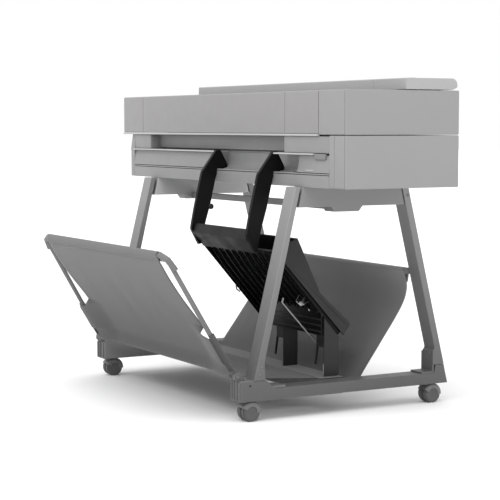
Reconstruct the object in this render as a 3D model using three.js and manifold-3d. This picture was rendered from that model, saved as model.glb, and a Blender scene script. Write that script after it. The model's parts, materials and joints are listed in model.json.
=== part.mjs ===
// Large format roll plotter on a castered stand, with a fabric media bin and a cut sheet stacker.
// Millimetres, +Z up, front towards -Y. The floor is z = 0 and the printer's front face is y = 0
// until the last step, which centres the whole machine over the origin.
import * as THREE from 'three';
import { mergeVertices } from 'three/addons/utils/BufferGeometryUtils.js';
import Module from 'manifold-3d';

const wasm = await Module();
wasm.setup();

// ---------------------------------------------------------------- driving dimensions
const GAP = 0.4; // clearance between neighbouring pieces

// printer body, two stacked tiers
const BODY_HALF_WIDTH = 652.5;
const BODY_DEPTH = 345;
const LOWER_BOTTOM = 601;
const SEAM_Z = 734;
const UPPER_BOTTOM = 735.5;
const UPPER_TOP = 848.4;
const LID_TOP = 879;
const LID_FRONT = 180;
const LID_REAR = 339;
const COVER_RIGHT = 522; // right end of the hinged front cover
const LOWER_LEFT = -601; // the lower tier is inset at its left end
const LOWER_COLUMN_LEFT = 574; // left side of the lower right column
const WALL = 8;

// output slot and ledge
const SLOT_LEFT = -463;
const SLOT_RIGHT = 348;
const LEDGE_Z = 683;
const LEDGE_THICK = 5;
const LEDGE_RIGHT = 502;
const DOOR_SEAM_Z = 632;

// print carriage and paper drive
const RAIL_Y = 148;
const RAIL_Z = 790;
const RAIL_RADIUS = 8;
const RAIL_REACH = 590;
const BELT_Z = 762;
const PULLEY_RADIUS = 12;
const PULLEY_SHAFT = 3;
const BELT_SLACK = 0.9;
const BELT_THICK = 1.3;
const PULLEY_LEFT = -545;
const PULLEY_RIGHT = 507;
const ROLL_Y = 260;
const ROLL_Z = 793;
const ROLL_RADIUS = 46;
const ROLL_HALF_WIDTH = 457;
const SPINDLE_RADIUS = 12;
const SPINDLE_LEFT = -498;
const SPINDLE_RIGHT = 536;
const FEED_Y = 156;
const FEED_Z = 681;
const FEED_JOURNAL = 5;

// stand
const LEG_INNER = 403;
const LEG_OUTER = 452.8;
const LEG_DEPTH = 20;
const LEG_TOP_DEPTH = 15;
const FOOT_BOTTOM = 54;
const FOOT_TOP = 84;
const FOOT_BLOCK_TOP = 106;
const FOOT_FRONT = -186;
const FOOT_REAR = 465;
const RAIL_BOTTOM = 548;
const BEAM_FRONT = 87;
const BEAM_REAR = 157;

// casters
const CASTER_X = 425.8;
const WHEEL_RADIUS = 25;
const CASTER_TRAIL = 12;
const FRONT_AXLE_Y = -148;
const REAR_AXLE_Y = 422;
const STEM_RADIUS = 5.5;
const AXLE_RADIUS = 3;
const RUNNING_CLEARANCE = 0.05;
const LOOSE_CLEARANCE = 0.15; // where the round piece has few or wide flats

// media bin
const TUBE_RADIUS = 6.3;
const REAR_TUBE_RADIUS = 8;
const BIN_TUBE_X = 417;
const BIN_HALF_WIDTH = 397.4;
const FRONT_FLAP_HALF_WIDTH = 384;
const BIN_FLOOR_HALF_WIDTH = 390;
const BIN_PIVOT_Y = -187;
const BIN_PIVOT_Z = 118;
const PIN_RADIUS = 4;
const BIN_TOP_Y = -374;
const BIN_TOP_Z = 435;
const REAR_TUBE_Y = 362;
const REAR_TUBE_Z = 363;
const FABRIC_THICK = 2.4;

// cut sheet stacker
const ARM_LEFT = -32;
const ARM_RIGHT = 288;
const ARM_THICK = 12;
const WING_RIGHT = 374;
const WING_THICK = 6;

const CURVE = 3; // straight pieces per rounded corner
const ROUND = 24; // sides of small round pieces

// ---------------------------------------------------------------- helpers
const machine = new THREE.Group();
machine.name = 'large_format_plotter';

// An outline whose corners [u, v, radius] are rounded where a radius is given.
function outline(corners) {
  const shape = new THREE.Shape();
  corners.forEach(([u, v, radius = 0], i) => {
    const here = new THREE.Vector2(u, v);
    const before = new THREE.Vector2(...corners.at(i - 1).slice(0, 2)).sub(here);
    const after = new THREE.Vector2(...corners[(i + 1) % corners.length].slice(0, 2)).sub(here);
    const setback = radius / Math.tan(before.angleTo(after) / 2);
    const start = before.setLength(setback).add(here);
    const end = after.setLength(setback).add(here);
    const first = radius ? start : here;
    if (i === 0) shape.moveTo(first.x, first.y);
    else shape.lineTo(first.x, first.y);
    if (radius) shape.quadraticCurveTo(here.x, here.y, end.x, end.y);
  });
  shape.closePath();
  return shape;
}

// A prism from `low` to `high` along a world axis; bevel chamfers every edge of both ends.
const PRISM_BASES = {
  x: [[0, 1, 0], [0, 0, 1], [1, 0, 0]], // outline in y, z
  y: [[0, 0, 1], [1, 0, 0], [0, 1, 0]], // outline in z, x
  z: [[1, 0, 0], [0, 1, 0], [0, 0, 1]], // outline in x, y
};
function prism(axis, corners, low, high, bevel = 0) {
  const shape = corners instanceof THREE.Shape ? corners : outline(corners);
  const geometry = new THREE.ExtrudeGeometry(shape, {
    depth: high - low - 2 * bevel,
    bevelEnabled: bevel > 0,
    bevelThickness: bevel,
    bevelSize: bevel,
    bevelOffset: -bevel,
    bevelSegments: 1,
    curveSegments: CURVE,
  });
  geometry.translate(0, 0, low + bevel);
  const [u, v, w] = PRISM_BASES[axis].map((column) => new THREE.Vector3(...column));
  return geometry.applyMatrix4(new THREE.Matrix4().makeBasis(u, v, w));
}

function box(x0, x1, y0, y1, z0, z1, bevel = 0) {
  return prism('x', [[y0, z0], [y1, z0], [y1, z1], [y0, z1]], x0, x1, bevel);
}

function cylinder(axis, radius, low, high, u, v, sides = ROUND) {
  const geometry = new THREE.CylinderGeometry(radius, radius, high - low, sides);
  const middle = (low + high) / 2;
  if (axis === 'x') return geometry.rotateZ(-Math.PI / 2).translate(middle, u, v);
  if (axis === 'y') return geometry.translate(u, middle, v);
  return geometry.rotateX(Math.PI / 2).translate(u, v, middle);
}

// A round bar bent along a path of [x, y, z] points with rounded bends.
function bentBar(points, radius, bend, sides = 12) {
  const path = new THREE.CurvePath();
  const corners = points.map((point) => new THREE.Vector3(...point));
  let from = corners[0];
  for (let i = 1; i < corners.length - 1; i += 1) {
    const enter = corners[i - 1].clone().sub(corners[i]).setLength(bend).add(corners[i]);
    const leave = corners[i + 1].clone().sub(corners[i]).setLength(bend).add(corners[i]);
    path.add(new THREE.LineCurve3(from, enter));
    path.add(new THREE.QuadraticBezierCurve3(enter, corners[i], leave));
    from = leave;
  }
  path.add(new THREE.LineCurve3(from, corners.at(-1)));
  const lengths = path.getCurveLengths();
  const steps = path.curves.map((curve) => (curve.isLineCurve3 ? 1 : CURVE + 1));
  const marks = [0];
  path.curves.forEach((curve, i) => {
    const start = i ? lengths[i - 1] : 0;
    for (let k = 1; k <= steps[i]; k += 1) {
      marks.push((start + (lengths[i] - start) * (k / steps[i])) / lengths.at(-1));
    }
  });
  const spine = new THREE.Curve();
  spine.getPoint = (t) => path.getPoint(sampleAt(marks, t));
  spine.getPointAt = spine.getPoint;
  spine.getTangent = (t) => path.getTangent(sampleAt(marks, t));
  spine.getTangentAt = spine.getTangent;
  const disc = new THREE.Shape().absarc(0, 0, radius, 0, 2 * Math.PI, false);
  return new THREE.ExtrudeGeometry(disc, {
    steps: marks.length - 1,
    extrudePath: spine,
    curveSegments: sides / 2,
  });
}

function sampleAt(marks, t) {
  const place = t * (marks.length - 1);
  const index = Math.min(Math.floor(place), marks.length - 2);
  return marks[index] + (marks[index + 1] - marks[index]) * (place - index);
}

// A ribbon of constant thickness that follows a line of [u, v] points.
function ribbon(points, thickness) {
  const line = points.map(([u, v]) => new THREE.Vector2(u, v));
  const sideOf = (sign) => line.map((point, i) => {
    const along = line[Math.min(i + 1, line.length - 1)].clone().sub(line[Math.max(i - 1, 0)]).normalize();
    return [point.x - (sign * along.y * thickness) / 2, point.y + (sign * along.x * thickness) / 2];
  });
  return [...sideOf(-1), ...sideOf(1).reverse()];
}

function toManifold(geometry) {
  geometry.deleteAttribute('normal');
  geometry.deleteAttribute('uv');
  const merged = mergeVertices(geometry, 1e-4);
  return new wasm.Manifold(new wasm.Mesh({
    numProp: 3,
    vertProperties: new Float32Array(merged.attributes.position.array),
    triVerts: new Uint32Array(merged.index.array),
  }));
}

function fromManifold(solid) {
  const { vertProperties, triVerts } = solid.getMesh();
  const geometry = new THREE.BufferGeometry();
  geometry.setAttribute('position', new THREE.BufferAttribute(new Float32Array(vertProperties), 3));
  geometry.setIndex(new THREE.BufferAttribute(new Uint32Array(triVerts), 1));
  return geometry;
}

function union(...geometries) {
  return fromManifold(geometries.map(toManifold).reduce((sum, solid) => sum.add(solid)));
}

function cut(geometry, ...tools) {
  const whole = toManifold(geometry);
  return fromManifold(tools.map(toManifold).reduce((rest, tool) => rest.subtract(tool), whole));
}

function mirrored(geometry) {
  const flipped = mergeVertices(geometry.clone().deleteAttribute('uv').deleteAttribute('normal'), 1e-4);
  flipped.scale(-1, 1, 1);
  const index = flipped.index.array;
  for (let i = 0; i < index.length; i += 3) [index[i], index[i + 1]] = [index[i + 1], index[i]];
  return flipped;
}

const MATERIALS = {
  shell: [0xb4b2b3, 0.55, 0.0],
  shellLight: [0xcfcfcf, 0.5, 0.0],
  shellDark: [0x8a8a8c, 0.6, 0.0],
  frame: [0x8e8e90, 0.5, 0.3],
  dark: [0x4a4a4c, 0.6, 0.0],
  black: [0x1c1c1e, 0.55, 0.0],
  steel: [0xa8a8ac, 0.3, 0.9],
  fabric: [0x6f6f71, 0.95, 0.0],
  paper: [0xf2f1ee, 0.9, 0.0],
  glass: [0x10141a, 0.1, 0.0],
};

function piece(name, geometry, material) {
  const [color, roughness, metalness] = MATERIALS[material];
  const mesh = new THREE.Mesh(geometry, new THREE.MeshStandardMaterial({ color, roughness, metalness }));
  mesh.name = name;
  machine.add(mesh);
}

// a piece and its mirror image across x = 0
function pair(name, geometry, material) {
  piece(`${name}_left`, mirrored(geometry), material);
  piece(`${name}_right`, geometry, material);
}

// ---------------------------------------------------------------- stand
// The front face of a leg leans outwards as it goes down.
const FRONT_LEG_TOP_Y = -24;
const FRONT_LEG_LEAN = 0.248;
const REAR_LEG_TOP_Y = 308;
const REAR_LEG_LEAN = 0.251;
const frontLegY = (z) => FRONT_LEG_TOP_Y - FRONT_LEG_LEAN * (LOWER_BOTTOM - z);
const rearLegY = (z) => REAR_LEG_TOP_Y + REAR_LEG_LEAN * (LOWER_BOTTOM - z);
const BRACKET_Y = 415; // front of the angle bracket that ties a rear leg down to its foot
const BRACKET_THICK = 4;
const BRACKET_REACH = 36;
const BRACKET_TOP = 150;

function stemBore(axleY) {
  const radius = STEM_RADIUS + RUNNING_CLEARANCE;
  return cylinder('z', radius, FOOT_BOTTOM - 1, FOOT_TOP - 6, CASTER_X, axleY - CASTER_TRAIL);
}

function foot() {
  const blockRear = FOOT_FRONT + 42;
  const profile = [
    [FOOT_FRONT, FOOT_BOTTOM], [FOOT_REAR, FOOT_BOTTOM], [FOOT_REAR - 9, FOOT_TOP + 4, 3],
    [rearLegY(FOOT_BLOCK_TOP) + LEG_DEPTH, FOOT_BLOCK_TOP, 4],
    [BRACKET_Y + BRACKET_THICK + 6, FOOT_BLOCK_TOP],
    [BRACKET_Y + BRACKET_THICK + 1, FOOT_TOP],
    [blockRear + 58, FOOT_TOP, 10],
    [blockRear + 34, FOOT_BLOCK_TOP, 6],
    [FOOT_FRONT, FOOT_BLOCK_TOP, 3],
  ];
  const lug = prism('x', [
    [BIN_PIVOT_Y + 4, FOOT_BLOCK_TOP - 4], [BIN_PIVOT_Y + 26, FOOT_BLOCK_TOP - 4],
    [BIN_PIVOT_Y + 10, BIN_PIVOT_Z + 9, 6],
    [BIN_PIVOT_Y - 9, BIN_PIVOT_Z + 9, 6], [BIN_PIVOT_Y - 9, BIN_PIVOT_Z - 6, 3],
  ], BIN_TUBE_X + 12, BIN_TUBE_X + 22);
  const groove = box(
    LEG_INNER + 16, LEG_INNER + 20, FOOT_FRONT - 1, FOOT_FRONT + 3, FOOT_BOTTOM - 1, FOOT_BLOCK_TOP + 1,
  );
  const pinBore = PIN_RADIUS + RUNNING_CLEARANCE;
  return cut(
    union(prism('x', profile, LEG_INNER - 5, LEG_OUTER, 1.5), lug),
    cylinder('x', pinBore, BIN_TUBE_X + 10, BIN_TUBE_X + 24, BIN_PIVOT_Y, BIN_PIVOT_Z),
    groove,
    stemBore(FRONT_AXLE_Y),
    stemBore(REAR_AXLE_Y),
    cylinder('x', 2.5, LEG_OUTER - 6, LEG_OUTER + 1, FOOT_FRONT + 28, FOOT_BLOCK_TOP - 11, 12),
  );
}

function frontLeg() {
  const foot = FOOT_BLOCK_TOP + GAP;
  const gusset = 46;
  return prism('x', [
    [frontLegY(foot), foot], [frontLegY(foot) + LEG_DEPTH + 14, foot],
    [frontLegY(foot + gusset) + LEG_DEPTH, foot + gusset, 60],
    [frontLegY(LOWER_BOTTOM) + LEG_TOP_DEPTH, LOWER_BOTTOM - GAP],
    [frontLegY(LOWER_BOTTOM), LOWER_BOTTOM - GAP],
  ], LEG_INNER, LEG_OUTER, 1.2);
}

function rearLeg() {
  const leg = prism('x', [
    [BRACKET_Y, FOOT_BLOCK_TOP + GAP], [rearLegY(FOOT_BLOCK_TOP) + LEG_DEPTH, FOOT_BLOCK_TOP + GAP],
    [rearLegY(LOWER_BOTTOM) + LEG_DEPTH, LOWER_BOTTOM - GAP], [rearLegY(LOWER_BOTTOM), LOWER_BOTTOM - GAP],
    [rearLegY(BRACKET_TOP), BRACKET_TOP, 8], [BRACKET_Y, BRACKET_TOP - 6],
  ], LEG_INNER, LEG_OUTER, 1.2);
  const bracket = prism('x', [
    [BRACKET_Y - BRACKET_REACH, FOOT_TOP + GAP], [BRACKET_Y + BRACKET_THICK, FOOT_TOP + GAP],
    [BRACKET_Y + BRACKET_THICK, BRACKET_TOP - 10], [BRACKET_Y, BRACKET_TOP - 10],
    [BRACKET_Y, FOOT_TOP + GAP + BRACKET_THICK, 2],
    [BRACKET_Y - BRACKET_REACH, FOOT_TOP + GAP + BRACKET_THICK],
  ], LEG_INNER - 5, LEG_OUTER - 2);
  return union(leg, bracket);
}

// The rail under the body closes the top of each A, with a stepped lug for the body's bolts.
function headRail() {
  const front = frontLegY(RAIL_BOTTOM) + LEG_DEPTH + 4;
  const rear = rearLegY(RAIL_BOTTOM) - 4;
  return prism('x', [
    [front, RAIL_BOTTOM], [86, RAIL_BOTTOM], [96, RAIL_BOTTOM - 14, 4], [172, RAIL_BOTTOM - 14, 4],
    [184, RAIL_BOTTOM], [rear, RAIL_BOTTOM], [rearLegY(LOWER_BOTTOM) - 3, LOWER_BOTTOM - GAP],
    [frontLegY(LOWER_BOTTOM) + LEG_DEPTH + 3, LOWER_BOTTOM - GAP],
  ], LEG_INNER, LEG_OUTER - 2, 1);
}

pair('foot', foot(), 'frame');
pair('leg_front', frontLeg(), 'frame');
pair('leg_rear', rearLeg(), 'frame');
pair('head_rail', headRail(), 'shellDark');
const FOOT_INNER = LEG_INNER - 5;
piece('cross_beam_lower', box(
  GAP - FOOT_INNER, FOOT_INNER - GAP, BEAM_FRONT, BEAM_REAR, FOOT_TOP - 42, FOOT_TOP, 2,
), 'frame');
piece('cross_beam_upper', box(
  GAP - LEG_INNER, LEG_INNER - GAP, 115, 145, RAIL_BOTTOM - 10.5, RAIL_BOTTOM + 5.5, 2,
), 'frame');

// ---------------------------------------------------------------- casters
// Twin wheels on one axle under a curved hood whose stem turns in the foot.
function casterHood(x, axleY) {
  const hoodOuter = WHEEL_RADIUS + 3.2;
  const hood = new THREE.Shape().absarc(0, 0, hoodOuter, -0.1, Math.PI * 0.86, false);
  hood.absarc(0, 0, WHEEL_RADIUS + 1, Math.PI * 0.86, -0.1, true);
  const shell = prism('x', hood, -18, 18).translate(x, axleY, WHEEL_RADIUS);
  const web = prism('x', [[-14, -6, 4], [10, -6, 4], [22, 16], [-18, 18]], -2, 2);
  web.translate(x, axleY, WHEEL_RADIUS);
  const stem = cylinder('z', STEM_RADIUS, 2 * WHEEL_RADIUS, FOOT_TOP - 8, x, axleY - CASTER_TRAIL);
  const neck = cylinder('z', 9, WHEEL_RADIUS + 22, FOOT_BOTTOM - GAP, x, axleY - CASTER_TRAIL);
  const bore = cylinder('x', AXLE_RADIUS + RUNNING_CLEARANCE, x - 3, x + 3, axleY, WHEEL_RADIUS);
  const wheelRoom = cylinder('x', WHEEL_RADIUS + 0.8, x + 2.2, x + 19, axleY, WHEEL_RADIUS);
  const otherRoom = cylinder('x', WHEEL_RADIUS + 0.8, x - 19, x - 2.2, axleY, WHEEL_RADIUS);
  return cut(union(shell, web, neck, stem), bore, wheelRoom, otherRoom);
}

function casterWheels(x, axleY) {
  const tyre = [
    [0, -8], [WHEEL_RADIUS - 1.5, -8], [WHEEL_RADIUS, -6], [WHEEL_RADIUS, 5],
    [WHEEL_RADIUS - 3, 8], [WHEEL_RADIUS - 8, 6], [0, 6],
  ].map(([radius, width]) => new THREE.Vector2(radius, width));
  const wheel = (side) => {
    const geometry = new THREE.LatheGeometry(tyre, ROUND);
    geometry.rotateZ(side > 0 ? -Math.PI / 2 : Math.PI / 2);
    return geometry.translate(x + side * 10.8, axleY, WHEEL_RADIUS);
  };
  return union(wheel(1), wheel(-1), cylinder('x', AXLE_RADIUS, x - 6, x + 6, axleY, WHEEL_RADIUS));
}

for (const [end, axleY] of [['front', FRONT_AXLE_Y], ['rear', REAR_AXLE_Y]]) {
  pair(`caster_hood_${end}`, casterHood(CASTER_X, axleY), 'dark');
  pair(`caster_wheels_${end}`, casterWheels(CASTER_X, axleY), 'black');
}

// ---------------------------------------------------------------- media bin
// Front hoop: a U of round tube whose legs pivot on lugs beside the foot blocks.
function binHoop() {
  const tube = bentBar([
    [-BIN_TUBE_X, BIN_PIVOT_Y, BIN_PIVOT_Z], [-BIN_TUBE_X, BIN_TOP_Y, BIN_TOP_Z],
    [BIN_TUBE_X, BIN_TOP_Y, BIN_TOP_Z], [BIN_TUBE_X, BIN_PIVOT_Y, BIN_PIVOT_Z],
  ], TUBE_RADIUS, 26);
  const pin = (low, high) => cylinder('x', PIN_RADIUS, low, high, BIN_PIVOT_Y, BIN_PIVOT_Z);
  const pins = [pin(BIN_TUBE_X - 2, BIN_TUBE_X + 24), pin(-BIN_TUBE_X - 24, 2 - BIN_TUBE_X)];
  return union(tube, cornerSleeve(1), cornerSleeve(-1), ...pins);
}

// The corner sleeves are slipped over the hoop's bends.
function cornerSleeve(side) {
  const reach = 46;
  const fall = new THREE.Vector3(0, BIN_PIVOT_Y - BIN_TOP_Y, BIN_PIVOT_Z - BIN_TOP_Z).setLength(reach);
  const corner = new THREE.Vector3(side * BIN_TUBE_X, BIN_TOP_Y, BIN_TOP_Z);
  const inner = new THREE.Vector3(side * (BIN_TUBE_X - 0.75 * reach), BIN_TOP_Y, BIN_TOP_Z);
  const path = [inner, corner, corner.clone().add(fall)].map((point) => point.toArray());
  return bentBar(path, TUBE_RADIUS + 2.2, 26);
}

piece('bin_hoop', binHoop(), 'frame');

// The front fabric is stretched between the hoop's sides; the floor and rear fabric hang slack.
const hoopSlope = new THREE.Vector2(BIN_PIVOT_Y - BIN_TOP_Y, BIN_PIVOT_Z - BIN_TOP_Z).normalize();
const hoopPoint = (along) => [BIN_TOP_Y + hoopSlope.x * along, BIN_TOP_Z + hoopSlope.y * along];
const HOOP_LENGTH = Math.hypot(BIN_PIVOT_Y - BIN_TOP_Y, BIN_PIVOT_Z - BIN_TOP_Z);
const frontFlapLine = [TUBE_RADIUS + 3.5, HOOP_LENGTH / 2, HOOP_LENGTH - 12].map(hoopPoint);

// The rear fabric sags behind the lower beam before it is carried over the beam's top.
function rearFlapLine() {
  const curve = new THREE.CubicBezierCurve(
    new THREE.Vector2(REAR_TUBE_Y - REAR_TUBE_RADIUS - 2, REAR_TUBE_Z - 1),
    new THREE.Vector2(400, 292),
    new THREE.Vector2(318, 228),
    new THREE.Vector2(214, 79),
  );
  const sag = [BEAM_REAR + 31, FOOT_TOP - 14];
  const over = [[BEAM_REAR + 5, FOOT_TOP + 2], [BEAM_FRONT, FOOT_TOP + 2]];
  return [...curve.getPoints(7).map((point) => point.toArray()), sag, ...over];
}

const floorLine = [[BIN_PIVOT_Y + 14, BIN_PIVOT_Z - 3], [-90, 103], [BEAM_FRONT - 6, FOOT_TOP + 1]];
const sheet = (line, halfWidth) => prism('x', ribbon(line, FABRIC_THICK), -halfWidth, halfWidth);
piece('bin_flap_front', sheet(frontFlapLine, FRONT_FLAP_HALF_WIDTH), 'fabric');
piece('bin_floor', sheet(floorLine, BIN_FLOOR_HALF_WIDTH), 'fabric');
piece('bin_flap_rear', sheet(rearFlapLine(), BIN_HALF_WIDTH), 'fabric');

// Rear tube: a straight bar between the rear legs, with a flat foot plate against each leg.
function rearTube() {
  const x = LEG_INNER - GAP;
  const plate = (side) => box(
    Math.min(side * x, side * (x - 4)), Math.max(side * x, side * (x - 4)),
    REAR_TUBE_Y - 9, REAR_TUBE_Y + 24, REAR_TUBE_Z - 9, REAR_TUBE_Z + 9, 0.8,
  );
  return union(cylinder('x', REAR_TUBE_RADIUS, 2 - x, x - 2, REAR_TUBE_Y, REAR_TUBE_Z), plate(-1), plate(1));
}
piece('bin_rear_tube', rearTube(), 'frame');

// ---------------------------------------------------------------- cut sheet stacker
// Two arms with claws that rest in the front trough, joined by a folded cross plate.
const TROUGH_FLOOR = DOOR_SEAM_Z + 5;
const armProfile = [
  [-3, 690, 4], [11, 690, 4], [34, 648, 5], [31, 642, 2], [16, TROUGH_FLOOR + GAP],
  [-GAP, TROUGH_FLOOR + GAP], [-2.5, 622], [-22, 538], [-37.5, 487], [-44, 458],
  [-50, 426], [-59, 424], [-83, 468, 12], [-79, 490, 20], [-71, 530], [-59, 584], [-48, 630, 14],
];
function arm(x) {
  return prism('x', armProfile, x, x + ARM_THICK, 1);
}

function crossPlate() {
  const profile = [[-46, 419], [-40, 424], [-66, 459], [-58, 483], [-72, 483], [-79, 458]];
  return prism('x', profile, ARM_LEFT + ARM_THICK + GAP, ARM_RIGHT - GAP, 0.8);
}

// The chute runs down and back from the arms; ribs stiffen the side that faces the floor.
const CHUTE_TOP = new THREE.Vector2(-28, 427);
const CHUTE_END = new THREE.Vector2(166, 205);
const chuteSlope = CHUTE_END.clone().sub(CHUTE_TOP).normalize();
const chuteUp = new THREE.Vector2(-chuteSlope.y, chuteSlope.x);
const CHUTE_LENGTH = CHUTE_TOP.distanceTo(CHUTE_END);
const onChute = (along, above) => CHUTE_TOP.clone()
  .addScaledVector(chuteSlope, along)
  .addScaledVector(chuteUp, above)
  .toArray();
const CHUTE_THICK = 5;
const RIB_DEPTH = 11;
const RIB_COUNT = 11;
const SKIRT_LEFT = 64;
const SKIRT_Y = 104; // a plate that hangs from the chute in front of the legs' heads

function chute() {
  const left = ARM_LEFT;
  const right = WING_RIGHT - GAP;
  const plate = prism('x', [
    onChute(0, 0), onChute(0, CHUTE_THICK), onChute(CHUTE_LENGTH, CHUTE_THICK), onChute(CHUTE_LENGTH, 0),
  ].reverse(), left, right);
  const pitch = (right - left) / RIB_COUNT;
  const ribs = Array.from({ length: RIB_COUNT }, (_, i) => prism('x', [
    onChute(6, 1), onChute(CHUTE_LENGTH - 6, 1), onChute(CHUTE_LENGTH - 12, -RIB_DEPTH),
    onChute(16, -RIB_DEPTH),
  ], left + pitch * (i + 0.5) - 2, left + pitch * (i + 0.5) + 2));
  const skirt = box(SKIRT_LEFT, right, SKIRT_Y, SKIRT_Y + 4, CHUTE_END.y - 7, 274);
  return union(plate, ...ribs, skirt);
}

// Side wings close the pocket between the chute and the rear wall.
const wingProfile = [
  onChute(2, -8), onChute(306, -2), [188, 219.5, 2], [91, 308.5, 8], [19, 459, 3], [-22, 441, 6],
];
const rearWallLine = [[193, 224], [96, 312], [24, 462]];

// Each leg is a side plate under a closed head, with a short latch bar that leans forward.
function stackerLeg(x, drop) {
  const front = 110;
  const rear = 156;
  const headFrom = 166;
  const width = 40;
  const plate = 3.6;
  const top = (y) => CHUTE_TOP.y + (chuteSlope.y / chuteSlope.x) * (y - CHUTE_TOP.x) - drop;
  const head = prism('x', [
    [front, headFrom], [rear, headFrom], [rear, top(rear)], [front, top(front)],
  ], x - width, x, 0.6);
  const hollow = box(x - width + plate, x - plate, front + plate, rear + 1, headFrom - 1, top(rear) - 7);
  const side = box(x - plate, x, front, rear, FOOT_TOP + 4, headFrom + 3, 0.6);
  const latch = prism('x', [
    [front - 7, 118], [front - 2, 116], [front + 6, headFrom + 3], [front, headFrom + 3],
  ], x - width, x - width + plate);
  return union(cut(head, hollow), side, latch);
}

piece('stacker_arm_left', arm(ARM_LEFT), 'black');
piece('stacker_arm_right', arm(ARM_RIGHT), 'black');
piece('stacker_cross_plate', crossPlate(), 'black');
piece('stacker_chute', chute(), 'black');
const WING_LEFT = ARM_LEFT - WING_THICK;
const WING_OUTER = WING_RIGHT + WING_THICK;
piece('stacker_wing_left', prism('x', wingProfile, WING_LEFT - GAP, ARM_LEFT - GAP, 0.8), 'black');
piece('stacker_wing_right', prism('x', wingProfile, WING_RIGHT, WING_OUTER, 0.8), 'black');
piece('stacker_rear_wall', prism('x', ribbon(rearWallLine, 4), WING_LEFT, WING_OUTER), 'black');
const ROD_X = WING_RIGHT - 38;
piece('stacker_rod', bentBar([
  [ROD_X, 8, 302], [ROD_X, -4, 289], [ROD_X, 112, 172],
], 2.6, 10, 8), 'steel');
piece('stacker_leg_left', stackerLeg(166, 17.6), 'black');
piece('stacker_leg_right', stackerLeg(WING_OUTER, 24), 'black');

// ---------------------------------------------------------------- printer: lower tier
const lowerTrough = [
  [24, LOWER_BOTTOM], [BODY_DEPTH, LOWER_BOTTOM, 3], [BODY_DEPTH, SEAM_Z, 3], [BODY_DEPTH - WALL, SEAM_Z],
  [BODY_DEPTH - WALL, LOWER_BOTTOM + WALL], [24, LOWER_BOTTOM + WALL],
];
const LEFT_CAP = LOWER_LEFT + 26;
const bore = (radius, x, y, z) => cylinder('x', radius + RUNNING_CLEARANCE, x - 9, x + 9, y, z);
const lowerCap = prism('x', [
  [0, LOWER_BOTTOM, 3], [BODY_DEPTH, LOWER_BOTTOM, 3], [BODY_DEPTH, SEAM_Z - 2, 3], [6, SEAM_Z - 2],
  [0, 690],
], LOWER_LEFT, LEFT_CAP, 2);
piece('lower_trough', cut(
  union(prism('x', lowerTrough, LEFT_CAP - 3, LOWER_COLUMN_LEFT - GAP), lowerCap),
  bore(FEED_JOURNAL, LEFT_CAP, FEED_Y, FEED_Z),
), 'shell');

function lowerColumn() {
  const block = box(LOWER_COLUMN_LEFT, BODY_HALF_WIDTH, 0, BODY_DEPTH, LOWER_BOTTOM, SEAM_Z, 2.5);
  const groove = box(
    LOWER_COLUMN_LEFT + 24, LOWER_COLUMN_LEFT + 25.6, -1, 1.6, LOWER_BOTTOM - 1, SEAM_Z + 1,
  );
  const inlet = box(592, 626, BODY_DEPTH - 18, BODY_DEPTH + 1, 640, 668);
  return cut(block, groove, inlet, bore(FEED_JOURNAL, LOWER_COLUMN_LEFT, FEED_Y, FEED_Z));
}
piece('lower_column_right', lowerColumn(), 'shell');
piece('power_inlet', cut(
  box(592.4, 625.6, BODY_DEPTH - 17.6, BODY_DEPTH - 1, 640.4, 667.6),
  box(596, 622, BODY_DEPTH - 14, BODY_DEPTH, 644, 664),
), 'black');

// Front of the lower tier: a flat apron, a shallow brow above its seam that deepens into a trough
// behind the stacker's claws, and the output ledge.
const PANEL_LEFT = LEFT_CAP + GAP;
const PANEL_RIGHT = LOWER_COLUMN_LEFT - GAP;
const BAY_LEFT = ARM_LEFT - 2;
const BAY_RIGHT = ARM_RIGHT + ARM_THICK + 2;
const TROUGH_RIGHT = 394;
const TROUGH_BACK = 42;
const BROW_BOTTOM = DOOR_SEAM_Z + 1.6;
const BROW_TOP = LEDGE_Z - GAP;
const troughProfile = [
  [0, BROW_BOTTOM, 1], [TROUGH_BACK + 4, BROW_BOTTOM], [TROUGH_BACK + 4, BROW_TOP],
  [TROUGH_BACK, BROW_TOP], [TROUGH_BACK, TROUGH_FLOOR, 24], [0, TROUGH_FLOOR, 2],
];
const browProfile = [
  [0, BROW_BOTTOM, 1], [TROUGH_BACK + 4, BROW_BOTTOM], [TROUGH_BACK + 4, BROW_TOP], [6, BROW_TOP],
  [1.5, 656, 20],
];
piece('front_trough', union(
  prism('x', troughProfile, BAY_LEFT - 2, TROUGH_RIGHT + 2),
  prism('x', browProfile, PANEL_LEFT, BAY_LEFT),
  prism('x', browProfile, TROUGH_RIGHT, PANEL_RIGHT),
), 'shell');
piece('front_apron', box(PANEL_LEFT, PANEL_RIGHT, 0, 22, LOWER_BOTTOM, DOOR_SEAM_Z, 2), 'shell');
const ledgeProfile = [
  [-5, LEDGE_Z + 1, 1], [46, LEDGE_Z], [46, LEDGE_Z + LEDGE_THICK], [-3, LEDGE_Z + LEDGE_THICK, 2],
];
piece('output_ledge_left', prism('x', ledgeProfile, PANEL_LEFT, BAY_LEFT), 'shellLight');
piece('output_ledge_right', prism('x', ledgeProfile, BAY_RIGHT, LEDGE_RIGHT), 'shellLight');
const GUIDE_BOTTOM = LEDGE_Z + 19;
const cheek = (left, right) => box(left, right, 3, 46, LEDGE_Z + LEDGE_THICK + GAP, SEAM_Z - 2, 2);
piece('slot_surround', union(
  cheek(PANEL_LEFT, SLOT_LEFT),
  cheek(SLOT_RIGHT, PANEL_RIGHT),
  prism('x', [
    [37, GUIDE_BOTTOM], [41, GUIDE_BOTTOM], [44, SEAM_Z - 3], [36, SEAM_Z - 3],
  ], SLOT_LEFT - 3, SLOT_RIGHT + 3),
), 'shell');

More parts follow.
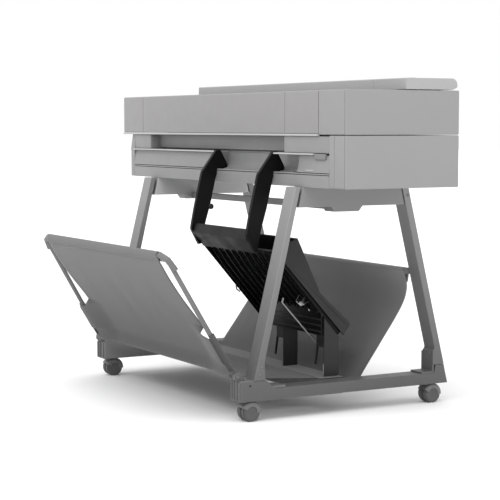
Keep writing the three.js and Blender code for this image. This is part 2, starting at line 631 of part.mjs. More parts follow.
// ---------------------------------------------------------------- printer: paper path and carriage
piece('platen', prism('x', [
  [47, LEDGE_Z - 4], [142, LEDGE_Z - 4], [142, LEDGE_Z + 8], [118, LEDGE_Z + 14, 6], [60, LEDGE_Z + 14, 4],
  [47, LEDGE_Z + LEDGE_THICK],
], PANEL_LEFT, PANEL_RIGHT), 'dark');
piece('feed_roller', union(
  cylinder('x', 10, SLOT_LEFT, SLOT_RIGHT + 100, FEED_Y, FEED_Z),
  cylinder('x', FEED_JOURNAL, PANEL_LEFT - 8, PANEL_RIGHT + 8, FEED_Y, FEED_Z),
), 'dark');
piece('carriage_rail', cylinder(
  'x', RAIL_RADIUS, -RAIL_REACH - 12, COVER_RIGHT - GAP, RAIL_Y, RAIL_Z,
), 'steel');
const CARRIAGE_HOME = 430;
const CARRIAGE_HALF = 62;
piece('carriage', cut(
  box(CARRIAGE_HOME - CARRIAGE_HALF, CARRIAGE_HOME + CARRIAGE_HALF, 48, 170, 712, 822, 3),
  cylinder('x', RAIL_RADIUS + RUNNING_CLEARANCE, CARRIAGE_HOME - 70, CARRIAGE_HOME + 70, RAIL_Y, RAIL_Z),
  box(CARRIAGE_HOME - 70, CARRIAGE_HOME + 70, 118, 172, BELT_Z - 14, BELT_Z + 14),
), 'dark');

function pulley(x) {
  return union(
    cylinder('z', PULLEY_RADIUS, BELT_Z - 6, BELT_Z + 6, x, RAIL_Y),
    cylinder('z', PULLEY_RADIUS + 2, BELT_Z - 8, BELT_Z - 6, x, RAIL_Y),
    cylinder('z', PULLEY_SHAFT, UPPER_BOTTOM + 2, BELT_Z - 7, x, RAIL_Y, 12),
  );
}
function belt() {
  const loop = (radius) => {
    const shape = new THREE.Shape().absarc(PULLEY_RIGHT, RAIL_Y, radius, -Math.PI / 2, Math.PI / 2, false);
    shape.absarc(PULLEY_LEFT, RAIL_Y, radius, Math.PI / 2, 1.5 * Math.PI, false);
    return prism('z', shape, BELT_Z - 4, BELT_Z + 4);
  };
  const inner = loop(PULLEY_RADIUS + BELT_SLACK).scale(1, 1, 2).translate(0, 0, -BELT_Z);
  return cut(loop(PULLEY_RADIUS + BELT_SLACK + BELT_THICK), inner);
}
piece('belt_pulley_drive', pulley(PULLEY_RIGHT), 'steel');
piece('belt_pulley_idle', pulley(PULLEY_LEFT), 'steel');
piece('carriage_belt', belt(), 'black');

// ---------------------------------------------------------------- printer: upper tier
const upperTrough = [
  [LID_FRONT - 2, UPPER_BOTTOM], [BODY_DEPTH, UPPER_BOTTOM, 3], [BODY_DEPTH, UPPER_TOP, 3],
  [BODY_DEPTH - WALL, UPPER_TOP], [BODY_DEPTH - WALL, UPPER_BOTTOM + 5], [LID_FRONT + 5, UPPER_BOTTOM + 5],
  [LID_FRONT + 5, UPPER_TOP - 2], [LID_FRONT - 2, UPPER_TOP - 2],
];
const UPPER_CAP = 166;
const bracketFront = RAIL_Y - 22;
const pulleyShelf = (x) => box(x - 12, x + 12, bracketFront, LID_FRONT, UPPER_BOTTOM, UPPER_BOTTOM + 12);
const railBracket = (x) => box(x - 5, x + 5, bracketFront, LID_FRONT, UPPER_BOTTOM, RAIL_Z + 20);
const shaftBore = (x) => cylinder(
  'z', PULLEY_SHAFT + LOOSE_CLEARANCE, UPPER_BOTTOM + 1, UPPER_BOTTOM + 13, x, RAIL_Y, 12,
);
piece('upper_trough', cut(
  union(
    prism('x', upperTrough, UPPER_CAP - BODY_HALF_WIDTH - 3, COVER_RIGHT - GAP),
    box(
      -BODY_HALF_WIDTH, UPPER_CAP - BODY_HALF_WIDTH, LID_FRONT - 2, BODY_DEPTH,
      UPPER_BOTTOM, UPPER_TOP, 2.5,
    ),
    pulleyShelf(PULLEY_LEFT),
    pulleyShelf(PULLEY_RIGHT),
    railBracket(-RAIL_REACH),
  ),
  shaftBore(PULLEY_LEFT),
  shaftBore(PULLEY_RIGHT),
  cylinder('x', RAIL_RADIUS + GAP, -RAIL_REACH - 9, 9 - RAIL_REACH, RAIL_Y, RAIL_Z),
  cylinder('x', SPINDLE_RADIUS + LOOSE_CLEARANCE, SPINDLE_LEFT - 1, SPINDLE_LEFT + 30, ROLL_Y, ROLL_Z),
), 'shell');
piece('upper_column_right', cut(
  box(COVER_RIGHT + GAP, BODY_HALF_WIDTH, 0, BODY_DEPTH, UPPER_BOTTOM, UPPER_TOP, 2.5),
  cylinder('x', SPINDLE_RADIUS + LOOSE_CLEARANCE, SPINDLE_RIGHT - 30, SPINDLE_RIGHT + 1, ROLL_Y, ROLL_Z),
), 'shell');

// Hinged front cover: front, top and left end in one moulding, with a bright grip lip.
const COVER_REAR = LID_FRONT - 3;
const COVER_WALL = 6;
const COVER_BOTTOM = 738;
function frontCover() {
  const skin = box(-BODY_HALF_WIDTH, COVER_RIGHT - GAP, 0, COVER_REAR, COVER_BOTTOM, UPPER_TOP, 2.5);
  const inside = box(
    COVER_WALL - BODY_HALF_WIDTH, COVER_RIGHT + 1, COVER_WALL, COVER_REAR + 1,
    COVER_BOTTOM - 1, UPPER_TOP - COVER_WALL,
  );
  return cut(skin, inside);
}
piece('front_cover', frontCover(), 'shell');
piece('cover_lip', prism('x', [
  [-2.5, COVER_BOTTOM - 6, 2], [6, COVER_BOTTOM - 6], [6, COVER_BOTTOM - GAP], [-1, COVER_BOTTOM - GAP],
], -BODY_HALF_WIDTH, COVER_RIGHT - GAP, 0.8), 'shellLight');

// Paper roll on its spindle, under the top lid.
piece('roll_spindle', cylinder('x', SPINDLE_RADIUS, SPINDLE_LEFT, SPINDLE_RIGHT, ROLL_Y, ROLL_Z), 'black');
piece('paper_roll', cut(
  cylinder('x', ROLL_RADIUS, -ROLL_HALF_WIDTH, ROLL_HALF_WIDTH, ROLL_Y, ROLL_Z, 32),
  cylinder('x', SPINDLE_RADIUS + GAP, -ROLL_HALF_WIDTH - 1, ROLL_HALF_WIDTH + 1, ROLL_Y, ROLL_Z),
), 'paper');
const LID_BOTTOM = UPPER_TOP + 1.6;
const LID_LEFT = -482;
const POD_LEFT = 502;
const SCREEN_LEFT = 518;
const SCREEN_RIGHT = 604;
const SCREEN_FRONT = 196;
const SCREEN_REAR = 256;
const BUTTON_X = 628;
const BUTTON_Y = 214;
const BUTTON_RADIUS = 9;
const lidProfile = [
  [LID_FRONT, LID_BOTTOM], [LID_REAR - 14, LID_BOTTOM], [LID_REAR, LID_BOTTOM + 6, 4],
  [LID_REAR, LID_TOP, 17], [LID_FRONT, LID_TOP, 3],
];
piece('roll_lid', prism('x', lidProfile, LID_LEFT, POD_LEFT - GAP, 1.5), 'shell');
function controlPod() {
  const pod = prism('x', lidProfile, POD_LEFT + GAP, BODY_HALF_WIDTH, 1.5);
  const window = box(SCREEN_LEFT, SCREEN_RIGHT, SCREEN_FRONT, SCREEN_REAR, LID_TOP - 2, LID_TOP + 1);
  const buttonHole = cylinder('z', BUTTON_RADIUS + 0.3, LID_TOP - 6, LID_TOP + 1, BUTTON_X, BUTTON_Y);
  return cut(pod, window, buttonHole);
}
piece('control_pod', controlPod(), 'shell');
piece('touch_screen', box(
  SCREEN_LEFT + GAP, SCREEN_RIGHT - GAP, SCREEN_FRONT + GAP, SCREEN_REAR - GAP, LID_TOP - 1.7, LID_TOP - 0.2,
), 'glass');
piece('power_button', cylinder(
  'z', BUTTON_RADIUS, LID_TOP - 3, LID_TOP + 1, BUTTON_X, BUTTON_Y,
), 'shellLight');

// ---------------------------------------------------------------- centre the machine over the origin
const bounds = new THREE.Box3().setFromObject(machine);
const shiftY = -(bounds.min.y + bounds.max.y) / 2;
machine.children.forEach((mesh) => mesh.geometry.translate(0, shiftY, 0));

export default machine;
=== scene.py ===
"""Looks of the large format plotter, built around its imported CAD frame.

Sizes below are in millimetres in the machine's own axes: x to its right, y back from the printer's front
face and z up from the floor. at() turns them into the frame's metres.
"""
import cmath
import json
import math

import bmesh
import bpy
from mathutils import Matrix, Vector, noise

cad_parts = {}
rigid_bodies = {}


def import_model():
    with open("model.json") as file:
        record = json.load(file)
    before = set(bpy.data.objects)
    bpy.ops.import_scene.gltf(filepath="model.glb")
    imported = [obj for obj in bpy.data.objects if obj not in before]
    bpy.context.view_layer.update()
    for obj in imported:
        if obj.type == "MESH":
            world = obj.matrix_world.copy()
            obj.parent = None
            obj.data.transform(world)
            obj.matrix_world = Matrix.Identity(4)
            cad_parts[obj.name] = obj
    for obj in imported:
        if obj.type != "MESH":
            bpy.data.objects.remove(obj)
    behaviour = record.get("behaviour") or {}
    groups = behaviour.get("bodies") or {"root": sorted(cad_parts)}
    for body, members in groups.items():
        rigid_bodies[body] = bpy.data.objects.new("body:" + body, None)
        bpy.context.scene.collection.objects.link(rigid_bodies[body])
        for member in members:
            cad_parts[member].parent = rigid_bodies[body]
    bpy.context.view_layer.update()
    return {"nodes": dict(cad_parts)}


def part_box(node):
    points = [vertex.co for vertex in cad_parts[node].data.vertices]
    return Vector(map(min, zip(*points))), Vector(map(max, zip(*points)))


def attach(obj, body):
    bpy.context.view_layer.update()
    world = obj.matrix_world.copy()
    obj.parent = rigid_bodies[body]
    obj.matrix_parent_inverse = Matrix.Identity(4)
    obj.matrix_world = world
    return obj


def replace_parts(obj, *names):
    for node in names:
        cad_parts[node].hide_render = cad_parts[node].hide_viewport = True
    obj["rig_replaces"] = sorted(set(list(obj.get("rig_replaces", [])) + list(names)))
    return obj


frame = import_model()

MM = 0.001
FRONT_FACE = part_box("front_cover")[0][1]
scene = bpy.context.scene
scene.view_settings.view_transform = "Standard"


def at(x, y, z):
    return Vector((x * MM, y * MM + FRONT_FACE, z * MM))


# ---------------------------------------------------------------- driving dimensions
GAP = 0.4  # clearance between neighbouring pieces
END_GAP = 1.2  # half of the wider gap between the front cover and the right end column
PAST = 5  # how far a cutting body reaches past the face that it opens

# printer body
HALF_WIDTH, BODY_DEPTH = 652.5, 345
LOWER_BOTTOM, SEAM_Z, UPPER_BOTTOM, UPPER_TOP = 601, 734, 735.5, 848.4
COVER_RIGHT, COVER_BOTTOM, COVER_REAR, COVER_WALL = 522, 738, 177, 6
COVER_SEAMS = (-510, 356)  # x of the two upright seams
LOWER_COLUMN_LEFT = 574
PANEL_LEFT, PANEL_RIGHT = -574.6, 573.6
LEDGE_Z, DOOR_SEAM_Z = 683, 632
SLOT_LEFT, SLOT_RIGHT = -463, 348
LID_LEFT, POD_LEFT, LID_FRONT, LID_REAR, LID_BOTTOM, LID_TOP = -482, 502, 180, 339, 850, 879
SCREEN_X, SCREEN_Y = (518, 604), (196, 256)
INLET_X, INLET_Z = (592, 626), (640, 668)
SPINDLE = (260, 793, 12)  # y, z and radius
FEED_ROLLER = (156, 681, 5)  # y, z and the radius of its shaft
BUTTON_HOLE = (628, 214, 9.3)  # x, y and radius

# stand and media bin
LEG_INNER, BEAM_FRONT, BEAM_REAR, FOOT_TOP, FOOT_BOTTOM = 403, 87, 157, 84, 54
TUBE, TUBE_BEND = 6.3, 14
HOOP_X, HOOP_TOP, HOOP_PIVOT = 417, (-374, 435), (-187, 118)  # half width, then (y, z) places
REAR_TUBE, REAR_TUBE_RADIUS = (362, 363), 8
SLIT_END = 240  # how far down the hoop the open slits beside the front fabric end
CLOTH_THICKNESS = 1.1

# cut sheet stacker
CHUTE_TOP, CHUTE_END = complex(-28, 427), complex(166, 205)  # (y, z) along its upper face
STACKER_LEFT, STACKER_RIGHT = -32, 374

# casters
WHEEL, CASTER_X, CASTER_TRAIL = 25, 425.8, 12  # wheel radius, half the track, stem to axle
FRONT_AXLE, REAR_AXLE = -148, 422


# ---------------------------------------------------------------- camera, floor and light
def make_camera(place, yaw, pitch, lens):
    """Looks from place, turned yaw degrees left of straight back and tilted pitch degrees down."""
    camera = bpy.data.objects.new("camera", bpy.data.cameras.new("camera"))
    camera.data.lens = lens
    camera.data.clip_end = 50
    camera.location = place
    camera.rotation_euler = (math.radians(90 - pitch), 0, math.radians(yaw))
    scene.collection.objects.link(camera)
    scene.camera = camera


def make_floor(half_size):
    """A plain pale floor that reaches past the picture."""
    mesh = bpy.data.meshes.new("floor")
    corners = [(x * half_size, y * half_size, 0) for x, y in ((-1, -1), (1, -1), (1, 1), (-1, 1))]
    mesh.from_pydata(corners, [], [(0, 1, 2, 3)])
    floor = bpy.data.objects.new("floor", mesh)
    scene.collection.objects.link(floor)
    paint = bpy.data.materials.new("floor_paint")
    paint.use_nodes = True
    paint.node_tree.nodes["Principled BSDF"].inputs["Base Color"].default_value = (0.93, 0.93, 0.93, 1)
    paint.node_tree.nodes["Principled BSDF"].inputs["Roughness"].default_value = 1.0
    paint.node_tree.nodes["Principled BSDF"].inputs["Specular IOR Level"].default_value = 0.0
    mesh.materials.append(paint)


def make_light(elevation, azimuth, strength, softness):
    """An even white studio with one broad key light from high on the front right."""
    world = bpy.data.worlds.new("studio")
    world.use_nodes = True
    world.node_tree.nodes["Background"].inputs["Color"].default_value = (1, 1, 1, 1)
    world.node_tree.nodes["Background"].inputs["Strength"].default_value = 1.0
    scene.world = world
    key = bpy.data.objects.new("key", bpy.data.lights.new("key", "SUN"))
    key.data.energy = strength
    key.data.angle = math.radians(softness)
    key.rotation_euler = (math.radians(90 - elevation), 0, math.radians(azimuth))
    scene.collection.objects.link(key)


make_camera(place=at(3859.7, -2070, 757.8), yaw=60.71, pitch=4.59, lens=111.2)
make_floor(half_size=40)
make_light(elevation=62, azimuth=38, strength=1.6, softness=50)


# ---------------------------------------------------------------- materials
class Paint:
    """A Principled material whose colour, roughness and bump come from small procedural layers."""

    def __init__(self, name, color, roughness, metallic=0.0, specular=0.5):
        self.material = bpy.data.materials.new(name)
        self.material.use_nodes = True
        self.nodes = self.material.node_tree.nodes
        self.links = self.material.node_tree.links
        self.shader = self.nodes["Principled BSDF"]
        self.shader.inputs["Metallic"].default_value = metallic
        self.shader.inputs["Specular IOR Level"].default_value = specular
        self.place = self.nodes.new("ShaderNodeTexCoord").outputs["Object"]
        self.color = self.nodes.new("ShaderNodeRGB").outputs[0]
        self.color.default_value = (*color, 1)
        self.roughness = roughness
        self.height = None

    def noise(self, scale, detail=2.0, stretch=(1, 1, 1)):
        """Soft noise from 0 to 1 with features about 1 / scale metres across."""
        mapping = self.nodes.new("ShaderNodeMapping")
        mapping.inputs["Scale"].default_value = stretch
        self.links.new(self.place, mapping.inputs["Vector"])
        node = self.nodes.new("ShaderNodeTexNoise")
        node.inputs["Scale"].default_value = scale
        node.inputs["Detail"].default_value = detail
        self.links.new(mapping.outputs[0], node.inputs["Vector"])
        return node.outputs["Fac"]

    def span(self, value, low, high, to_low=0.0, to_high=1.0):
        """A value that runs from to_low to to_high as the given one runs from low to high."""
        node = self.nodes.new("ShaderNodeMapRange")
        sockets = {"From Min": low, "From Max": high, "To Min": to_low, "To Max": to_high}
        for socket, number in sockets.items():
            node.inputs[socket].default_value = number
        self.links.new(value, node.inputs["Value"])
        return node.outputs[0]

    def height_above_floor(self, low, high):
        """0 below the low height and 1 above the high one, in metres."""
        split = self.nodes.new("ShaderNodeSeparateXYZ")
        self.links.new(self.place, split.inputs[0])
        return self.span(split.outputs["Z"], low, high)

    def inner_faces(self):
        """1 on faces that look sideways towards the middle of the machine, 0 elsewhere; it places painted
        fill light.
        """
        normal = self.nodes.new("ShaderNodeNewGeometry").outputs["Normal"]
        product = self.nodes.new("ShaderNodeVectorMath")
        product.operation = "MULTIPLY"
        self.links.new(normal, product.inputs[0])
        self.links.new(self.place, product.inputs[1])
        split = self.nodes.new("ShaderNodeSeparateXYZ")
        self.links.new(product.outputs[0], split.inputs[0])
        return self.span(split.outputs["X"], -0.2, -0.35)

    def upper_faces(self):
        """1 on faces that look up, 0 on those that look sideways or down."""
        split = self.nodes.new("ShaderNodeSeparateXYZ")
        self.links.new(self.nodes.new("ShaderNodeNewGeometry").outputs["Normal"], split.inputs[0])
        return self.span(split.outputs["Z"], 0.75, 0.95)

    def edges(self, radius):
        """1 along convex and concave edges, 0 on flat faces; the materials paint highlights along edges with
        it.
        """
        bevel = self.nodes.new("ShaderNodeBevel")
        bevel.samples = 4
        bevel.inputs["Radius"].default_value = radius
        geometry = self.nodes.new("ShaderNodeNewGeometry")
        dot = self.nodes.new("ShaderNodeVectorMath")
        dot.operation = "DOT_PRODUCT"
        self.links.new(bevel.outputs[0], dot.inputs[0])
        self.links.new(geometry.outputs["Normal"], dot.inputs[1])
        return self.span(dot.outputs["Value"], 0.99, 0.8)

    def mix(self, amount, color):
        """Paints color over what is there, by amount (a socket)."""
        node = self.nodes.new("ShaderNodeMix")
        node.data_type = "RGBA"
        self.links.new(amount, node.inputs["Factor"])
        self.links.new(self.color, node.inputs["A"])
        node.inputs["B"].default_value = (*color, 1)
        self.color = node.outputs["Result"]

    def shade(self, amount, low, high):
        """Multiplies the colour by low to high as amount (a socket) goes from 0 to 1."""
        factor = self.span(amount, 0.0, 1.0, low, high)
        node = self.nodes.new("ShaderNodeVectorMath")
        node.operation = "SCALE"
        self.links.new(self.color, node.inputs[0])
        self.links.new(factor, node.inputs["Scale"])
        self.color = node.outputs[0]

    def bump(self, value, distance):
        """Raises the surface by up to distance metres, on top of the bumps given before."""
        node = self.nodes.new("ShaderNodeBump")
        node.inputs["Distance"].default_value = distance
        node.inputs["Strength"].default_value = 1.0
        self.links.new(value, node.inputs["Height"])
        if self.height:
            self.links.new(self.height, node.inputs["Normal"])
        self.height = node.outputs[0]

    def done(self, roughness_noise=None, spread=0.06):
        """Plugs the layers into the shader; the roughness varies by spread either way."""
        self.links.new(self.color, self.shader.inputs["Base Color"])
        if roughness_noise:
            value = self.span(roughness_noise, 0.3, 0.7, self.roughness - spread, self.roughness + spread)
            self.links.new(value, self.shader.inputs["Roughness"])
        else:
            self.shader.inputs["Roughness"].default_value = self.roughness
        if self.height:
            self.links.new(self.height, self.shader.inputs["Normal"])
        return self.material


def scaled(color, factor):
    return tuple(min(1.0, channel * factor) for channel in color)


def moulded_plastic(name, color, roughness=0.5, grain=0.04, painted_edge_light=1.25):
    """Fine moulded texture and faint cloudiness, with painted highlights along its edges (painted shade
    where the edge factor is under 1).
    """
    paint = Paint(name, color, roughness)
    paint.shade(paint.noise(3.0), 0.97, 1.03)
    paint.shade(paint.noise(900.0), 0.98, 1.02)
    # painted highlight: edges mixed towards the colour scaled by the edge factor
    paint.mix(paint.edges(1.6 * MM), scaled(color, painted_edge_light))
    paint.bump(paint.noise(1400.0, detail=1.0), grain * MM)
    return paint.done(paint.noise(25.0))


def powder_coat(name, top, bottom, low=0.08, high=0.6, roughness=0.5, painted_fill_light=1.0):
    """Powder coated steel with orange peel, with painted shade that darkens it towards the floor and painted
    highlights on its edges.

    The last argument brightens the faces that look towards the middle of the machine, painted light that
    stands in for fill light reaching under the body.
    """
    paint = Paint(name, bottom, roughness)
    # painted shade: the colour runs from the bottom colour below the low height to the top colour above the
    # high one
    paint.mix(paint.height_above_floor(low, high), top)
    # painted light: faces towards the middle of the machine made lighter in place of fill light
    paint.shade(paint.inner_faces(), 1.0, painted_fill_light)
    paint.shade(paint.noise(6.0), 0.96, 1.04)
    # painted highlight: edges shown up to 1.4 times lighter
    paint.shade(paint.edges(2.4 * MM), 1.0, 1.4)
    paint.bump(paint.noise(420.0, detail=1.5), 0.05 * MM)
    return paint.done(paint.noise(40.0))


def woven_fabric(name, top, bottom, low, high):
    """Plain weave polyester: crossed threads, uneven dye and a soft sheen, with painted shade that darkens
    it towards the floor.
    """
    paint = Paint(name, bottom, 0.85, specular=0.25)
    paint.shader.inputs["Sheen Weight"].default_value = 0.25
    paint.shader.inputs["Sheen Roughness"].default_value = 0.6
    # painted shade: darker from the high height down to the low one
    paint.mix(paint.height_above_floor(low, high), top)
    paint.shade(paint.noise(5.0, detail=3.0), 0.95, 1.05)
    weave = []
    for direction in ("X", "Z"):
        wave = paint.nodes.new("ShaderNodeTexWave")
        wave.wave_type = "BANDS"
        wave.bands_direction = direction
        wave.inputs["Scale"].default_value = 160.0
        wave.inputs["Distortion"].default_value = 0.6
        wave.inputs["Detail"].default_value = 1.0
        paint.links.new(paint.place, wave.inputs["Vector"])
        weave.append(wave.outputs["Fac"])
    threads = paint.nodes.new("ShaderNodeMath")
    threads.operation = "MULTIPLY"
    for socket, value in enumerate(weave):
        paint.links.new(value, threads.inputs[socket])
    paint.shade(threads.outputs[0], 0.94, 1.06)
    paint.bump(threads.outputs[0], 0.25 * MM)
    return paint.done()


def satin_black(name, color, roughness=0.42, painted_edge_highlight=3.4, specular=0.4):
    """Black painted sheet metal, with painted light that lightens its upper faces and painted highlights
    that turn its edges grey.
    """
    paint = Paint(name, color, roughness, specular=specular)
    paint.shade(paint.noise(8.0, detail=3.0), 0.85, 1.2)
    # painted light: upper faces made up to three times lighter, as if lit from above
    paint.shade(paint.upper_faces(), 1.0, 3.0)
    # painted highlight: edges mixed towards a lighter grey by the edge factor
    paint.mix(paint.edges(1.4 * MM), scaled(color, painted_edge_highlight))
    paint.bump(paint.noise(500.0, detail=1.5), 0.05 * MM)
    return paint.done(paint.noise(18.0), spread=0.08)


def brushed_metal(name, color, roughness=0.3):
    """Bare steel with fine brush marks along x."""
    paint = Paint(name, color, roughness, metallic=0.9)
    paint.shade(paint.noise(60.0, stretch=(0.05, 1, 1)), 0.9, 1.1)
    return paint.done(paint.noise(90.0, stretch=(0.03, 1, 1)), spread=0.1)


def rubber(name, color):
    """Dull rubber with uneven wear and a fine grain."""
    paint = Paint(name, color, 0.7, specular=0.3)
    paint.shade(paint.noise(30.0, detail=3.0), 0.8, 1.25)
    paint.bump(paint.noise(700.0), 0.08 * MM)
    return paint.done(paint.noise(20.0))


STUDIO_LIGHT = 1.44  # how much brighter than its own colour a front face shows in the studio light


def grey(level, tint=(1, 1, 1)):
    """The colour of a surface that shows as this 0-255 grey on a front face in the studio light."""
    linear = ((level / 255 + 0.055) / 1.055) ** 2.4 / STUDIO_LIGHT
    return tuple(linear * channel for channel in tint)


MATERIALS = {
    "cover": moulded_plastic("cover_plastic", grey(169, (1, 0.976, 0.982))),
    "shell": moulded_plastic("shell_plastic", grey(169)),
    "lid": moulded_plastic("lid_plastic", grey(193)),
    "lower": moulded_plastic("lower_plastic", grey(164)),
    "slot": moulded_plastic("slot_plastic", grey(160), roughness=0.6),
    "bright": moulded_plastic("bright_plastic", grey(205), roughness=0.4, painted_edge_light=1.1),
    # painted shade: these steel paints darken towards the floor; the rail and foot also get painted fill
    # light on their faces towards the middle
    "rail": powder_coat("rail_paint", grey(158), grey(152), 0.53, 0.6, painted_fill_light=2.5),
    "frame": powder_coat("frame_paint", grey(162), grey(106), 0.08, 0.56),
    "foot": powder_coat("foot_paint", grey(102), grey(98), 0.06, 0.1, painted_fill_light=2.6),
    "tube": powder_coat("tube_paint", grey(140), grey(112), 0.1, 0.45),
    "trim": powder_coat("trim_paint", grey(126), grey(116), 0.08, 0.2),
    "elbow": powder_coat("elbow_paint", grey(128), grey(104), 0.1, 0.45),
    # painted highlight: the caster plastic's edges made twice as light
    "caster": moulded_plastic("caster_plastic", grey(122), roughness=0.3, painted_edge_light=2.0),
    "tread": rubber("caster_tread", grey(104)),
    "fabric": woven_fabric("bin_fabric", grey(113), grey(72), 0.13, 0.42),
    # painted light: the rear sheet's copy of the bin fabric is made lighter to make up for the shade inside
    # the bin
    "painted_light_rear_fabric": woven_fabric("painted_light_bin_fabric", grey(166), grey(100), 0.1, 0.36),
    "black": satin_black("stacker_black", (0.011, 0.011, 0.0115)),
    # painted shade: the colour of the patch that shows the shadow at the ledge's end
    "recess_shade": moulded_plastic("recess_shade_plastic", grey(146), roughness=0.6),
    "screw": brushed_metal("screw_steel", (0.2, 0.2, 0.2), roughness=0.4),
    # painted shade: the floor sheet's copy of the bin fabric is made darker for the shade inside the bin
    "painted_shade_floor_fabric": woven_fabric("painted_shade_bin_floor_fabric", grey(58), grey(50), 0.08, 0.12),
    "arm": satin_black("arm_black", (0.005, 0.005, 0.0052), specular=0.12),
    "plate": satin_black("plate_black", (0.012, 0.012, 0.0125), specular=0.15),
    # painted highlight: the chute's rib edges made far lighter than its black
    "chute": satin_black("chute_black", (0.004, 0.004, 0.0042), roughness=0.35, painted_edge_highlight=36, specular=0.12),
    "wire": brushed_metal("wire_steel", (0.3, 0.3, 0.31), roughness=0.35),
    # painted highlight: near white plastic for the glints under the chute
    "glint_white": moulded_plastic("glint_white_plastic", (0.9, 0.9, 0.9), roughness=0.35, painted_edge_light=1.0),
    "steel": brushed_metal("ground_steel", (0.42, 0.42, 0.43)),
    "dark": moulded_plastic("dark_plastic", grey(70), roughness=0.5),
    "feed": rubber("feed_coating", grey(90)),
    "belt": rubber("belt_rubber", grey(40)),
    "paper": moulded_plastic("roll_paper", (0.82, 0.81, 0.78), roughness=0.9, painted_edge_light=0.95),
    "screen": moulded_plastic("screen_glass", (0.012, 0.014, 0.017), roughness=0.12, grain=0.0),
}
# a CAD node takes the material of the longest of these that its name starts with
NODE_MATERIALS = {
    "lower": "lower", "front_trough": "lower", "front_apron": "lower", "upper": "shell",
    "front_cover": "cover", "cover_lip": "bright", "output_ledge": "bright", "power_button": "bright",
    "slot_surround": "slot", "platen": "slot", "roll_lid": "lid", "control_pod": "lid",
    "touch_screen": "screen", "power_inlet": "dark", "feed_roller": "feed", "carriage": "dark",
    "carriage_rail": "steel", "carriage_belt": "belt", "belt_pulley": "steel", "roll_spindle": "dark",
    "paper_roll": "paper",
    "leg": "frame", "cross_beam": "frame", "foot": "foot", "head_rail": "rail", "caster_hood": "caster",
    "caster_wheels": "tread", "bin_hoop": "tube", "bin_rear_tube": "tube", "bin_flap_front": "fabric",
    "bin_floor": "fabric", "bin_flap_rear": "painted_light_rear_fabric",
    "stacker": "black", "stacker_arm": "arm", "stacker_cross_plate": "plate", "stacker_rod": "steel",
}
for name, node in frame["nodes"].items():
    start = max((start for start in NODE_MATERIALS if name.startswith(start)), key=len)
    node.data.materials.clear()
    node.data.materials.append(MATERIALS[NODE_MATERIALS[start]])


# ---------------------------------------------------------------- mesh helpers
def rounded(corners, steps=5):
    """A closed outline of complex points through corners (u, v, radius), rounded by true arcs."""
    points = []
    for i, (u, v, radius) in enumerate(corners):
        here = complex(u, v)
        before = complex(*corners[i - 1][:2]) - here
        after = complex(*corners[(i + 1) % len(corners)][:2]) - here
        before /= abs(before)
        after /= abs(after)
        if not radius:
            points.append(here)
            continue
        half = abs(cmath.phase(after / before)) / 2
        reach = radius / math.tan(half)
        centre = here + (before + after) / abs(before + after) * radius / math.sin(half)
        start = here + before * reach - centre
        sweep = cmath.phase((here + after * reach - centre) / start)
        points += [centre + start * cmath.exp(1j * sweep * k / steps) for k in range(steps + 1)]
    return points


def inset(points, amount):
    """A counterclockwise outline moved inwards, with mitred corners."""
    moved = []
    for i, here in enumerate(points):
        into = here - points[i - 1]
        out = points[(i + 1) % len(points)] - here
        left_in = 1j * into / abs(into)
        left_out = 1j * out / abs(out)
        mitre = (left_in + left_out) / (1 + (left_in.conjugate() * left_out).real)
        moved.append(here + mitre * amount)
    return moved


AXES = {
    "x": lambda point, along: (along, point.real, point.imag),
    "y": lambda point, along: (point.imag, along, point.real),
    "z": lambda point, along: (point.real, point.imag, along),
}


def loft(outlines, axis):
    """Closed mesh data through (along, outline) rings: outlines are in (y, z), (z, x) or (x, y)."""
    count = len(outlines[0][1])
    verts = [at(*AXES[axis](point, along)) for along, outline in outlines for point in outline]
    faces = [tuple(reversed(range(count)))]
    for ring in range(len(outlines) - 1):
        base = ring * count
        for i in range(count):
            j = (i + 1) % count
            faces.append((base + i, base + j, base + count + j, base + count + i))
    last = (len(outlines) - 1) * count
    faces.append(tuple(last + i for i in range(count)))
    return verts, faces


def bar(outline, axis, low, high, end=1.5, grooves=()):
    """A straight moulding with rounded ends; grooves are (place, width, depth) cut right round it."""
    turns = [math.radians(angle) for angle in (0, 30, 60, 90)]
    rings = [(low + end * (1 - math.sin(turn)), end * (1 - math.cos(turn))) for turn in reversed(turns)]
    for place, width, depth in grooves:
        rings += [(place - width / 2, 0), (place - width / 4, depth)]
        rings += [(place + width / 4, depth), (place + width / 2, 0)]
    rings += [(high - end * (1 - math.sin(turn)), end * (1 - math.cos(turn))) for turn in turns]
    return loft([(along, inset(outline, amount) if amount else outline) for along, amount in rings], axis)


def block(x, y, z, radius=2.5, **options):
    """A rounded box; x, y and z are (low, high)."""
    corners = [(y[0], z[0], radius), (y[1], z[0], radius), (y[1], z[1], radius), (y[0], z[1], radius)]
    return bar(rounded(corners, 4), "x", *x, end=options.pop("end", radius * 0.8), **options)


def unpack(point):
    return point.real, point.imag


def disc(radius, sides=32, centre=0j):
    return [centre + radius * cmath.exp(2j * math.pi * k / sides) for k in range(sides)]


def turned(axis, centre, stations, sides=32):
    """A turned piece: stations are (along, radius) from low to high along the axis."""
    return loft([(along, disc(max(radius, 0.05), sides, centre)) for along, radius in stations], axis)


def bends(points, radius, steps=8):
    """A path of mm points with its corners rounded by arcs."""
    path = [Vector(points[0])]
    for before, here, after in zip(points, points[1:], points[2:]):
        here = Vector(here)
        enter = (Vector(before) - here).normalized()
        leave = (Vector(after) - here).normalized()
        half = enter.angle(leave) / 2
        reach = radius / math.tan(half)
        centre = here + (enter + leave).normalized() * radius / math.sin(half)
        start = here + enter * reach - centre
        end = here + leave * reach - centre
        path += [centre + start.slerp(end, k / steps) for k in range(steps + 1)]
    return path + [Vector(points[-1])]


